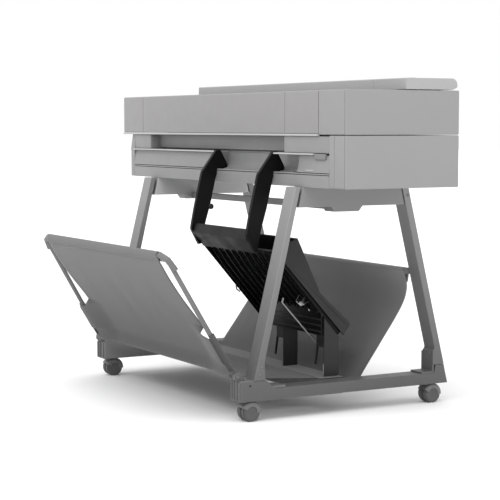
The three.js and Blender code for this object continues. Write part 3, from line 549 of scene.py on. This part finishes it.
def tube(path, radius, sides=20, end=0.8):
    """A round bar along a path of mm points; the ends are slightly rounded."""
    path = [Vector(point) for point in path]
    first = (path[1] - path[0]).normalized()
    last = (path[-1] - path[-2]).normalized()
    spine = [path[0], path[0] + first * end, *path[1:-1], path[-1] - last * end, path[-1]]
    side = first.orthogonal().normalized()
    verts = []
    for i, here in enumerate(spine):
        along = (spine[min(i + 1, len(spine) - 1)] - spine[max(i - 1, 0)]).normalized()
        side = (side - along * side.dot(along)).normalized()
        other = along.cross(side)
        size = radius - end if i in (0, len(spine) - 1) else radius
        for k in range(sides):
            turn = 2 * math.pi * k / sides
            verts.append(at(*(here + (side * math.cos(turn) + other * math.sin(turn)) * size)))
    faces = [tuple(reversed(range(sides)))]
    for ring in range(len(spine) - 1):
        base = ring * sides
        for k in range(sides):
            j = (k + 1) % sides
            faces.append((base + k, base + j, base + sides + j, base + sides + k))
    faces.append(tuple((len(spine) - 1) * sides + k for k in range(sides)))
    return verts, faces


def joined(*parts):
    """Several closed bodies as one mesh's data."""
    verts, faces = [], []
    for part_verts, part_faces in parts:
        faces += [tuple(index + len(verts) for index in face) for face in part_faces]
        verts += part_verts
    return verts, faces


def mesh_object(name, data):
    mesh = bpy.data.meshes.new(name)
    mesh.from_pydata(*[[tuple(vert) for vert in data[0]], [], data[1]])
    tool = bmesh.new()
    tool.from_mesh(mesh)
    bmesh.ops.recalc_face_normals(tool, faces=tool.faces)
    tool.to_mesh(mesh)
    tool.free()
    piece = bpy.data.objects.new(name, mesh)
    scene.collection.objects.link(piece)
    return piece


def smooth(piece, angle=32):
    piece.data.polygons.foreach_set("use_smooth", [True] * len(piece.data.polygons))
    piece.data.set_sharp_from_angle(angle=math.radians(angle))


def new_piece(name, data, material, body, replaces=(), cuts=(), angle=32):
    """Adds a piece with its material and body; cuts are closed bodies taken out of it."""
    piece = mesh_object(name, data)
    if cuts:
        tool = mesh_object(name + "_cut", joined(*cuts))
        carve = piece.modifiers.new("carve", "BOOLEAN")
        carve.object = tool
        carve.operation = "DIFFERENCE"
        carve.solver = "EXACT"
        bpy.context.view_layer.update()
        result = bpy.data.meshes.new_from_object(piece.evaluated_get(bpy.context.evaluated_depsgraph_get()))
        piece.modifiers.clear()
        piece.data = result
        bpy.data.objects.remove(tool)
    smooth(piece, angle)
    piece.data.materials.clear()
    piece.data.materials.append(MATERIALS[material])
    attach(piece, body)
    if replaces:
        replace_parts(piece, *replaces)
    return piece


# ---------------------------------------------------------------- printer shells
def cover():
    """The hinged front cover, an open shell with two upright seams, and its bright lip."""
    outline = rounded([(0, COVER_BOTTOM, 2.4), (COVER_REAR, COVER_BOTTOM, 2.4),
                       (COVER_REAR, UPPER_TOP, 2.4), (0, UPPER_TOP, 4)])
    seams = [(x, 3.2, 2.2) for x in COVER_SEAMS]
    skin = bar(outline, "x", -HALF_WIDTH, COVER_RIGHT - END_GAP, end=2, grooves=seams)
    inside = block((COVER_WALL - HALF_WIDTH, COVER_RIGHT + PAST), (COVER_WALL, COVER_REAR + PAST),
                   (COVER_BOTTOM - PAST, UPPER_TOP - COVER_WALL), 1)
    new_piece("front_cover_shell", skin, "cover", "cover", ["front_cover"], [inside])
    low, high = COVER_BOTTOM - 6, COVER_BOTTOM - GAP
    lip = rounded([(-2.5, low, 1.5), (6, low, 0.6), (6, high, 0.6), (-2, high, 1)])
    new_piece("cover_lip_bar", bar(lip, "x", -HALF_WIDTH, COVER_RIGHT - GAP, end=0.6), "bright", "cover",
              ["cover_lip"])


def columns():
    """The two fixed tiers at the right end, bored for the spindle, feed roller and power inlet."""
    side_seam, front_seam = (646.5, 2.4, 2.4), (598.8, 2.4, 2.2)
    y, z, radius = SPINDLE
    spindle_bore = turned("x", complex(y, z), [(505, radius + GAP), (537, radius + GAP)])
    upper = block((COVER_RIGHT + END_GAP, HALF_WIDTH), (0, BODY_DEPTH), (UPPER_BOTTOM, UPPER_TOP), 3,
                  grooves=[side_seam])
    new_piece("upper_column_shell", upper, "shell", "stand", ["upper_column_right"],
              [spindle_bore])
    y, z, radius = FEED_ROLLER
    feed_bore = turned("x", complex(y, z), [(570, radius + GAP), (583, radius + GAP)])
    inlet = block(INLET_X, (BODY_DEPTH - 18, BODY_DEPTH + PAST), INLET_Z, 1)
    lower = block((LOWER_COLUMN_LEFT, HALF_WIDTH), (0, BODY_DEPTH), (LOWER_BOTTOM, SEAM_Z), 3,
                  grooves=[front_seam, side_seam])
    new_piece("lower_column_shell", lower, "shell", "stand", ["lower_column_right"],
              [inlet, feed_bore])


def lid_and_pod():
    """The roll lid and the fixed control pod share one section, well rounded at the back."""
    section = rounded([(LID_FRONT, LID_BOTTOM, 1.5), (LID_REAR - 14, LID_BOTTOM, 2),
                       (LID_REAR, LID_BOTTOM + 6, 4), (LID_REAR, LID_TOP, 17), (LID_FRONT, LID_TOP, 3)], 8)
    new_piece("roll_lid_shell", bar(section, "x", LID_LEFT, POD_LEFT - GAP), "lid", "lid",
              ["roll_lid"])
    window = block(SCREEN_X, SCREEN_Y, (LID_TOP - 2, LID_TOP + 4), 1.5)
    x, y, radius = BUTTON_HOLE
    button_hole = turned("z", complex(x, y), [(LID_TOP - 6, radius), (LID_TOP + 1, radius)])
    pod = bar(section, "x", POD_LEFT + GAP, HALF_WIDTH)
    new_piece("control_pod_shell", pod, "lid", "stand", ["control_pod"],
              [window, button_hole])


def brow_and_trough():
    """A shallow brow above the apron that deepens into a trough behind the stacker's claws."""
    back, bottom, floor, top = 42, DOOR_SEAM_Z + 1.6, DOOR_SEAM_Z + 5, LEDGE_Z - GAP
    bay_left, bay_right = STACKER_LEFT - 2, STACKER_RIGHT + 20
    hollow = rounded([(0, bottom, 1), (back + 4, bottom, 0), (back + 4, top, 0), (back, top, 0),
                      (back, floor, 24), (0, floor, 1.5)], 8)

    def as_brow(point):
        """The hollow's rear wall, brought forward to a brow that leans back with height."""
        if point.imag <= floor + 0.5 or point.real >= back + 2:
            return point
        return complex(6 * ((point.imag - floor) / (top - floor)) ** 1.6, point.imag)

    brow = [as_brow(point) for point in hollow]
    rings = [(PANEL_LEFT, brow), (bay_left - 1, brow), (bay_left, hollow), (bay_right - 34, hollow),
             (bay_right + 30, brow), (PANEL_RIGHT, brow)]
    new_piece("front_trough_panel", loft(rings, "x"), "lower", "stand", ["front_trough"],
              angle=40)


def slot_and_ledge():
    """The cheeks either side of the output slot, its exit guide, and small details of ledge and apron: a
    darker patch that is painted shade at the ledge's end and a bright rib that is a painted glint on the
    apron.
    """
    cheek_z = (LEDGE_Z + 5 + GAP, SEAM_Z - 2)
    new_piece("slot_cheek_left", block((PANEL_LEFT, SLOT_LEFT), (3, 46), cheek_z), "lower", "stand",
              ["slot_surround"])
    new_piece("slot_cheek_right", block((SLOT_RIGHT, PANEL_RIGHT), (3, 46), cheek_z), "lower", "stand")
    guide = rounded([(37, 692, 1), (41, 692, 1), (44, SEAM_Z - 3, 1), (36, SEAM_Z - 3, 1)], 3)
    new_piece("slot_exit_guide", bar(guide, "x", SLOT_LEFT - 3, SLOT_RIGHT + 3, end=0.5), "slot", "stand")
    # painted shade: a darker patch at the ledge's right end stands in for the shadow in the recess there
    recess_shade = block((503, 556), (-1, 8), (672, 687))
    new_piece("ledge_end_recess_shade", recess_shade, "recess_shade", "stand")
    # painted highlight: a thin bright rib stands in for a glint on the apron
    glint_rib = block((462, 500), (-0.8, 6), (643, 646), 0.8)
    new_piece("apron_glint_rib", glint_rib, "bright", "stand")


def screw(axis, place, sense, radius=3.2):
    """A low domed screw head; place is (x, y, z) and sense the way that it faces."""
    steps = [(0, radius), (0.8, radius), (1.6, radius * 0.8), (1.9, radius * 0.45), (1.2, radius * 0.3)]
    x, y, z = place
    along, centre = {"x": (x, complex(y, z)), "y": (y, complex(z, x)), "z": (z, complex(x, y))}[axis]
    return turned(axis, centre, [(along + sense * rise, size) for rise, size in steps], 16)


def rear_details():
    """Louvred plates and screws on the back, and the pins of the power inlet."""
    for word, side in (("left", -1), ("right", 1)):
        low, high = sorted((side * 290, side * 470))
        plate = block((low, high), (BODY_DEPTH - 0.5, BODY_DEPTH + 1.6), (640, 700), 0.9)
        slots = [block((low + 12, high - 12), (BODY_DEPTH - 2, BODY_DEPTH + 3), (z, z + 3.2), 0.9)
                 for z in range(648, 692, 7)]
        new_piece(f"rear_vent_{word}", plate, "shell", "stand", [], slots)
    places = [(x, z) for x in (-590, -230, 0, 230, 560, 640) for z in (LOWER_BOTTOM + 11, SEAM_Z - 10)]
    places += [(x, z) for x in (-640, -320, 0, 320, 640) for z in (UPPER_BOTTOM + 12.5, UPPER_TOP - 10.4)]
    screws = [screw("y", (x, BODY_DEPTH, z), 1) for x, z in places]
    new_piece("rear_screws", joined(*screws), "screw", "stand")
    pins = [block((x, x + 2), (331.5, 343), (z, z + 5), 0.4)
            for x, z in ((601, 655), (608, 648), (615, 655))]
    new_piece("inlet_pins", joined(*pins), "steel", "stand")


cover()
columns()
lid_and_pod()
brow_and_trough()
slot_and_ledge()
rear_details()


# ---------------------------------------------------------------- media bin frame
def hoop():
    """The tube that holds the front fabric up, with its pivot pins, corner elbows and foot sleeves."""
    corners = [(-HOOP_X, *HOOP_PIVOT), (-HOOP_X, *HOOP_TOP), (HOOP_X, *HOOP_TOP), (HOOP_X, *HOOP_PIVOT)]
    pins = [tube([(side * (HOOP_X - 2), *HOOP_PIVOT), (side * (HOOP_X + 24), *HOOP_PIVOT)], 4)
            for side in (-1, 1)]
    new_piece("bin_hoop_tube", joined(tube(bends(corners, TUBE_BEND), TUBE), *pins), "tube", "bin_front",
              ["bin_hoop"])
    fall = (Vector((0, *HOOP_PIVOT)) - Vector((0, *HOOP_TOP))).normalized()
    for side, word in ((-1, "left"), (1, "right")):
        corner, pivot = Vector((side * HOOP_X, *HOOP_TOP)), Vector((side * HOOP_X, *HOOP_PIVOT))
        path = bends([(side * (HOOP_X - 48), *HOOP_TOP), corner, corner + fall * 44], TUBE_BEND)
        elbow = tube(path, TUBE + 1.8, end=1.2)
        new_piece(f"bin_hoop_elbow_{word}", elbow, "elbow", "bin_front")
        sleeve = tube([pivot - fall * 20, pivot + fall * 9], TUBE + 1.6, end=1.2)
        new_piece(f"bin_hoop_foot_{word}", sleeve, "elbow", "bin_front")


def rear_tube():
    """The straight tube between the rear legs, on a small screwed plate at each end."""
    y, z = REAR_TUBE
    reach, plate = LEG_INNER - GAP, 4
    plates = [block(sorted((side * reach, side * (reach - plate))), (y - 9, y + 24), (z - 9, z + 9), 1.2)
              for side in (-1, 1)]
    rail = tube([(2 - reach, y, z), (reach - 2, y, z)], REAR_TUBE_RADIUS)
    new_piece("bin_rear_tube_bar", joined(rail, *plates), "tube", "stand", ["bin_rear_tube"])
    screws = [screw("x", (side * (reach - plate), y + 17, z), -side, 2.6) for side in (-1, 1)]
    new_piece("bin_rear_tube_screws", joined(*screws), "screw", "stand")


hoop()
rear_tube()


# ---------------------------------------------------------------- media bin fabric
def curve_points(points, steps=14):
    """Points along a cubic Bezier curve of four (u, v) control points."""
    a, b, c, d = (complex(*point) for point in points)
    return [(1 - t) ** 3 * a + 3 * (1 - t) ** 2 * t * b + 3 * (1 - t) * t * t * c + t ** 3 * d
            for t in (k / steps for k in range(steps + 1))]


def resampled(line, step):
    """Points at even distances along a line of complex points, and the line's length."""
    lengths = [0.0]
    for before, after in zip(line, line[1:]):
        lengths.append(lengths[-1] + abs(after - before))
    count = max(2, round(lengths[-1] / step))
    points, index = [], 0
    for k in range(count + 1):
        place = lengths[-1] * k / count
        while index < len(line) - 2 and lengths[index + 1] < place:
            index += 1
        share = (place - lengths[index]) / (lengths[index + 1] - lengths[index])
        points.append(line[index] + (line[index + 1] - line[index]) * share)
    return points, lengths[-1]


def strip_faces(rows, columns):
    """Quads between neighbouring rows of columns + 1 points each."""
    return [(row * (columns + 1) + column, row * (columns + 1) + column + 1,
             (row + 1) * (columns + 1) + column + 1, (row + 1) * (columns + 1) + column)
            for row in range(rows) for column in range(columns)]


def thicken(piece):
    """Gives a sheet its thickness, half to each side."""
    thick = piece.modifiers.new("thickness", "SOLIDIFY")
    thick.thickness = CLOTH_THICKNESS * MM
    thick.offset = 0


def cloth(name, line, half_width, material, body, node, folds, columns=72, step=6.0):
    """A sheet along a (y, z) line; half_width(t) and folds(x, t, length) shape it, t from 0 to 1."""
    points, length = resampled(line, step)
    verts = []
    for row, here in enumerate(points):
        along = points[min(row + 1, len(points) - 1)] - points[max(row - 1, 0)]
        normal = 1j * along / abs(along)
        t = row / (len(points) - 1)
        for column in range(columns + 1):
            x = half_width(t) * (2 * column / columns - 1)
            place = here + normal * folds(x, t, length)
            verts.append(at(x, place.real, place.imag))
    faces = strip_faces(len(points) - 1, columns)
    piece = new_piece(name, (verts, faces), material, body, [node], angle=60)
    thicken(piece)
    samples = 40
    widest = 2 * max(half_width(row / samples) for row in range(samples + 1))
    area = sum(2 * half_width((row + 0.5) / samples) * length / samples for row in range(samples))


def ease(share):
    """0 to 1 with a soft start and end."""
    share = min(1.0, max(0.0, share))
    return share * share * (3 - 2 * share)


def crease(distance, width, depth):
    """A sewn line: a shallow groove across distance 0."""
    return -depth * math.exp(-((distance / width) ** 2))


HOOP_FALL = complex(*HOOP_PIVOT) - complex(*HOOP_TOP)
HOOP_REACH = abs(HOOP_FALL)


def on_hoop(s, out):
    """The (y, z) place s mm down the hoop from its top tube and out mm in front of its plane."""
    down = HOOP_FALL / HOOP_REACH
    return complex(*HOOP_TOP) + down * (s - 1j * out)


def front_sheet():
    """Stretched from a sleeve round the hoop's top; it eases behind the hoop and ends on its pivot line."""
    wrap, stitch = TUBE + 1.4, 16
    sleeve_half, panel_half, full_half = 368.6, 372.0, 421.0
    lead, ease_back, to_pivot = 8.6, 24, 40

    def front_of_plane(s):
        """How far the fabric lies in front of the hoop's plane, s mm down from the top tube."""
        return (lead - ease_back * ease((s - 50) / 250)) * (1 - ease((s - HOOP_REACH + to_pivot) / to_pivot))

    # from the stitch line back behind the tube, round over its top and down the front
    line = [on_hoop(s, wrap * (1.9 * (s / stitch) ** 1.6 - 1)) for s in range(stitch, 0, -4)]
    turns = [math.pi * k / 10 for k in range(11)]
    line += [on_hoop(-wrap * math.sin(turn), -wrap * math.cos(turn)) for turn in turns]
    line += [on_hoop(s, front_of_plane(s)) for s in range(8, round(HOOP_REACH) + 6, 6)]
    hem = 2 * stitch + math.pi * wrap

    def folds(x, t, length):
        """Soft creases over the panel; below the slits its sides pass in front of the hoop."""
        s = t * length - hem + stitch
        if s < stitch:
            return 0.0
        slack = math.sin(math.pi * min(1.0, (s - stitch) / (HOOP_REACH - stitch)))
        pull = noise.noise(Vector((x * 0.012, s * 0.004, 3.1))) * 1.6
        creases = noise.noise(Vector((x * 0.03 + s * 0.01, s * 0.012, 7.7))) * 0.6
        if s < SLIT_END:
            seams = crease(s - stitch, 1.8, 0.8) + crease(s - stitch - 9, 1.4, 0.4)
            return seams - slack * (pull + creases)
        over_tube = (wrap + 1.4 - front_of_plane(s)) * ease((abs(x) - 280) / 130)
        return -slack * (pull + creases) * (1 - ease((abs(x) - 366) / 20)) - over_tube

    def half_width(t):
        s = t * (hem - stitch + HOOP_REACH) - hem + stitch
        return sleeve_half if s < 6 else panel_half if s < SLIT_END else full_half

    cloth("bin_front_fabric", line, half_width, "fabric", "bin_front", "bin_flap_front",
          folds)
    rows = [on_hoop(s, front_of_plane(s) + 0.7) for s in (9, 17)]
    piping = [tube([(-369, *unpack(row)), (369, *unpack(row))], 0.9, sides=8) for row in rows]
    new_piece("bin_front_piping", joined(*piping), "elbow", "bin_front")


def side_sleeves():
    """Below the slits the fabric is carried round the sides of the hoop."""
    wrap, end, rows = TUBE + 1.3, 352, 38
    section = [wrap * cmath.exp(1j * math.radians(angle)) for angle in range(150, -211, -15)]
    section, width = resampled(section, 2.5)
    for side, word in ((-1, "left"), (1, "right")):
        verts = []
        for row in range(rows + 1):
            s = SLIT_END + (end - SLIT_END) * row / rows
            flare = 1.0 + 0.06 * math.sin(math.pi * row / rows)
            for point in section:
                wave = 1 + 0.04 * noise.noise(Vector((point.real * 0.1, s * 0.03, side)))
                place = on_hoop(s, point.imag * flare * wave)
                verts.append(at(side * (HOOP_X + point.real * wave), place.real, place.imag))
        piece = new_piece(f"bin_side_sleeve_{word}", (verts, strip_faces(rows, len(section) - 1)), "fabric",
                          "bin_front", angle=60)
        thicken(piece)


def rear_sheet():
    """Hangs from the rear tube, sags behind the lower beam and is carried over its top."""
    y, z = REAR_TUBE
    centre, wrap, sag = complex(y, z), REAR_TUBE_RADIUS + 1.4, (214, 79)
    # a short hem behind the tube, then over its top, down to the sag and up over the beam
    line = [complex(y + 5, z - 32), complex(y + 8, z - 20), complex(y + wrap, z - 8)]
    line += [centre + wrap * cmath.exp(1j * math.pi * k / 10) for k in range(11)]
    line += curve_points([(y - wrap, z - 2), (400, 292), (318, 228), sag], 30)[1:]
    line += curve_points([sag, (196, 54), (172, 66), (BEAM_REAR + 5, FOOT_TOP + 1)], 8)[1:]
    line += [complex(BEAM_REAR, FOOT_TOP + 2), complex(BEAM_FRONT + 2, FOOT_TOP + 2)]
    hem = 32 + math.pi * wrap

    def folds(x, t, length):
        """Broad waves where it hangs free, and two sewn lines below the tube."""
        s = t * length - hem
        if s < 0:
            return 0.0
        hang = math.sin(math.pi * min(1.0, s / (length - hem - 110)))
        waves = noise.noise(Vector((x * 0.009, s * 0.003, 11.3))) * 4.0
        small = noise.noise(Vector((x * 0.028 - s * 0.008, s * 0.01, 5.9))) * 1.0
        return hang * (waves + small) + crease(s - 26, 2.0, 0.9) + crease(s - 60, 1.6, 0.6)

    def half_width(t):
        return 397.2 - 1.6 * math.sin(math.pi * t)

    cloth("bin_rear_fabric", line, half_width, "painted_light_rear_fabric", "stand", "bin_flap_rear",
          folds)


def floor_sheet():
    """Laid slack between the hoop's pivot line and the lower beam."""
    line = curve_points([(HOOP_PIVOT[0] + 3, HOOP_PIVOT[1] + 1), (-120, 97), (-20, 92),
                         (BEAM_FRONT - 2, FOOT_TOP + 2)], 30)

    def folds(x, t, length):
        slack = math.sin(math.pi * t)
        waves = noise.noise(Vector((x * 0.01, t * 2.5, 21.7))) * 3.0
        small = noise.noise(Vector((x * 0.03, t * 6, 2.2)))
        return slack * (waves + small) + crease((t - 0.07) * length, 2.0, 0.8)

    def half_width(t):
        return 386.0 - 3.0 * math.sin(math.pi * t)

    cloth("bin_floor_fabric", line, half_width, "painted_shade_floor_fabric", "stand", "bin_floor",
          folds)


front_sheet()
side_sleeves()
rear_sheet()
floor_sheet()


# ---------------------------------------------------------------- cut sheet stacker
CHUTE_LENGTH = abs(CHUTE_END - CHUTE_TOP)
CHUTE_SLOPE = (CHUTE_END - CHUTE_TOP) / CHUTE_LENGTH
CHUTE_RIGHT = STACKER_RIGHT - GAP


def on_chute(along, above):
    """The (y, z) place along mm down the chute from its top edge and above mm over its face."""
    return CHUTE_TOP + CHUTE_SLOPE * (along + 1j * above)


def chute_box(along, above):
    """The (y, z) outline of a straight stretch of the chute; both are (low, high)."""
    return [on_chute(along[0], above[0]), on_chute(along[1], above[0]), on_chute(along[1], above[1]),
            on_chute(along[0], above[1])]


def chute():
    """A sloping plate with deep ribs and edge flanges below it, and a ridged skirt that hangs from it."""
    left, ribs, steps, rib_half, flange = STACKER_LEFT, 11, 12, 2.4, 2.4
    plate = bar(chute_box((0, CHUTE_LENGTH), (0, 5)), "x", left, CHUTE_RIGHT, end=0.8)
    shares = [k / steps for k in range(1, steps + 1)]
    depths = [11 * math.sqrt(min(1.0, share / 0.3)) * min(1.0, (1.02 - share) * 12) for share in shares]
    belly = [on_chute(3 + (CHUTE_LENGTH - 8) * share, -depth) for share, depth in zip(shares, depths)]
    outline = [on_chute(3, 0.5), *belly, on_chute(CHUTE_LENGTH - 4, 0.5)]
    pitch = (CHUTE_RIGHT - left) / ribs
    middles = [left + pitch * (i + 0.5) for i in range(ribs)]
    rails = [bar(outline, "x", middle - rib_half, middle + rib_half, end=1.6) for middle in middles]
    edges = [bar(chute_box((2, CHUTE_LENGTH), (-13, 1)), "x", x, x + flange, end=0.6)
             for x in (left, CHUTE_RIGHT - flange, CHUTE_RIGHT - 24)]
    skirt = block((64, CHUTE_RIGHT), (104, 108), (198, 274), 0.9)
    ridges = [block((68, CHUTE_RIGHT - 4), (101.4, 105), (z, z + 3), 1) for z in (206, 222, 238)]
    new_piece("stacker_chute_ribbed", joined(plate, *rails, *edges, skirt, *ridges), "chute", "stand",
              ["stacker_chute"])


def wall_hems():
    """The folded edges that join the rear wall to the wings, and the fold along the right wing."""
    wing_edge = [188.3 + 219.8j, 91.3 + 308.6j, 19.3 + 459j]
    wall_face = [191.6 + 222.8j, 94.6 + 311j, 22.4 + 461.4j]
    hems = [bar(wing_edge + wall_face[::-1], "x", low, low + 5.6, end=0.4)
            for low in (STACKER_LEFT - 6.2, STACKER_RIGHT + 0.2)]
    new_piece("stacker_wall_hems", joined(*hems), "black", "stand")
    fold = tube([(380, -6, 397), (380, 93, 304), (380, 174, 229)], 0.9, sides=10)
    new_piece("stacker_wing_fold", fold, "black", "stand")


def rod_and_hanger():
    """The bent wire rod below the chute, the knob on the left arm, and the rod's forked hanger."""
    rod = tube(bends([(336, 8, 302), (336, -4, 289), (336, 112, 172)], 7), 2.6, sides=14)
    new_piece("stacker_wire_rod", rod, "wire", "stand", ["stacker_rod"])
    knob = turned("x", -20 + 530j, [(-28, 5), (-27, 8), (-20, 8), (-18, 6.5)])
    new_piece("stacker_arm_knob", knob, "black", "stand")
    cheek = [on_chute(156, -9), on_chute(172, -9), on_chute(168, -24), on_chute(160, -24)]
    cheeks = [bar(cheek, "x", x, x + 3) for x in (318, 350)]
    centre = unpack(on_chute(164, -18))
    spacer = tube([(320, *centre), (351, *centre)], 2.6, sides=14)
    new_piece("stacker_rod_hanger", joined(*cheeks, spacer), "chute", "stand")


def glints_trims_and_clips():
    """Painted glints under the chute (a near white flap and two near white buttons), bright trims on the
    legs, and a bent clip.
    """
    # painted highlight: a near white flap and buttons stand in for glints under the chute
    flap = rounded([(283, 281, 1), (287, 296, 2), (278, 322, 1), (273, 307, 2)], 3)
    glint_white = bar(flap, "y", 79, 84, end=0.8)
    glint_buttons = [screw("y", (x, 104.2, z), -1, 3.4) for x, z in ((-26, 272), (312, 262))]
    new_piece("stacker_painted_glints", joined(glint_white, *glint_buttons), "glint_white", "stand")
    trims = [tube([(x, 108, 86), (x, 108, 122)], 1.3, sides=10) for x in (164.5, 378.5)]
    new_piece("stacker_leg_trims", joined(*trims), "wire", "stand")
    corners = [(x, *unpack(on_chute(along, above)))
               for x, along, above in ((-31, 158, -13), (-31, 168, -22), (-12, 172, -22))]
    clip = tube(bends(corners, 4), 2.2, sides=12)
    new_piece("stacker_clip", clip, "wire", "stand")


chute()
wall_hems()
rod_and_hanger()
glints_trims_and_clips()


# ---------------------------------------------------------------- feet
def foot_trims(side):
    """Ribs, cap and step on the foot block, the stand's screws on that side, and a plug in the foot."""
    word = "left" if side < 0 else "right"
    outer = 452.8
    ribs = [block(sorted((side * x, side * (x + 3))), (-188.5, -184), (57, 103), 0.8)
            for x in (404, 431, 446)]
    cap = block(sorted((side * 400, side * 452)), (-184, -146), (105.4, 108), 1)
    step = block(sorted((side * 404, side * 452)), (-96, -52), (84.2, 90), 1.4)
    new_piece(f"foot_ribs_{word}", joined(*ribs, cap, step), "trim", "stand")
    screws = [screw("x", (side * outer, y, z), side, 3.4) for y, z in ((-130, 122), (-124, 142))]
    screws += [screw("y", (side * x, 415, 138), -1, 3) for x in (413, 437)]
    screws += [screw("x", (side * outer, 328, 572), side, 4.2)]
    new_piece(f"stand_screws_{word}", joined(*screws), "screw", "stand")
    stations = sorted([(side * 452.5, 3.4), (side * 453.3, 3.0)])
    new_piece(f"foot_plug_{word}", turned("x", -158 + 95j, stations, 20), "black", "stand")


foot_trims(-1)
foot_trims(1)


# ---------------------------------------------------------------- casters
def hood(x, axle_y):
    """A channel swept over the wheels, from just below the axle at the back to above it in front."""
    steps, start, stop = 26, -0.1, math.pi * 0.86
    half, wall, rim, under, crown = 20.4, 1.5, 15, 26.2, 29
    section = rounded([(wall - half, rim, 0.5), (wall - half, under, 3), (half - wall, under, 3),
                       (half - wall, rim, 0.5), (half, rim, 1), (half, crown, 7), (-half, crown, 7),
                       (-half, rim, 1)], 4)
    count = len(section)
    verts = []
    for k in range(steps + 1):
        spoke = cmath.exp(1j * (start + (stop - start) * k / steps))
        verts += [at(x + point.real, axle_y + spoke.real * point.imag, WHEEL + spoke.imag * point.imag)
                  for point in section]
    faces = [tuple(range(count)), tuple(reversed(range(steps * count, (steps + 1) * count)))]
    for base in range(0, steps * count, count):
        faces += [(base + i, base + (i + 1) % count, base + count + (i + 1) % count, base + count + i)
                  for i in range(count)]
    return verts, faces


def caster(side, end, axle_y):
    """A twin-wheel swivel caster: hood, stem and web in one fork, and two wheels on their axle."""
    word = f"{end}_{'left' if side < 0 else 'right'}"
    x = side * CASTER_X
    stem = turned("z", complex(x, axle_y - CASTER_TRAIL),
                  [(48, 5.5), (50, 13), (51.5, 13), (FOOT_BOTTOM - 1.4, 10), (FOOT_BOTTOM - 0.6, 9),
                   (FOOT_BOTTOM - GAP, 5.5), (75, 5.5), (76, 4.7)])
    web = rounded([(axle_y - 14, 19, 4), (axle_y + 10, 19, 4), (axle_y + 20, 43, 1), (axle_y - 18, 45, 1)])
    web = bar(web, "x", x - 2, x + 2, end=0.6)
    new_piece(f"caster_fork_{word}", joined(hood(x, axle_y), stem, web), "caster", f"caster_{word}",
              [f"caster_hood_{word}"])
    profile = [(2.6, 8), (2.6, 17), (3.6, 22), (4.6, 24.4), (6.5, WHEEL), (15, WHEEL), (17, 24.4),
               (18.2, 21.5), (17.4, 19.5), (15.8, 18.5), (15.8, 9), (17.2, 7.5), (17.2, 4), (16.6, 2),
               (16.6, 0)]
    centre = complex(axle_y, WHEEL)
    wheels = [turned("x", centre, sorted((x + hand * along, radius) for along, radius in profile), 40)
              for hand in (-1, 1)]
    axle = turned("x", centre, [(x - 3.2, 3), (x + 3.2, 3)], 16)
    new_piece(f"caster_rollers_{word}", joined(*wheels, axle), "tread", f"wheels_{word}",
              [f"caster_wheels_{word}"])


for end, axle_y in (("front", FRONT_AXLE), ("rear", REAR_AXLE)):
    for side in (-1, 1):
        caster(side, end, axle_y)


# ---------------------------------------------------------------- CAD nodes that stay get softened edges
REPLACED = {node for piece in scene.objects for node in piece.get("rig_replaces", [])}
THIN_NODES = {"touch_screen", "carriage_belt"}
for name, node in frame["nodes"].items():
    if name not in REPLACED | THIN_NODES:
        soften = node.modifiers.new("soft_edges", "BEVEL")
        soften.width = 0.9 * MM
        soften.segments = 2
        soften.limit_method = "ANGLE"
        soften.angle_limit = math.radians(40)
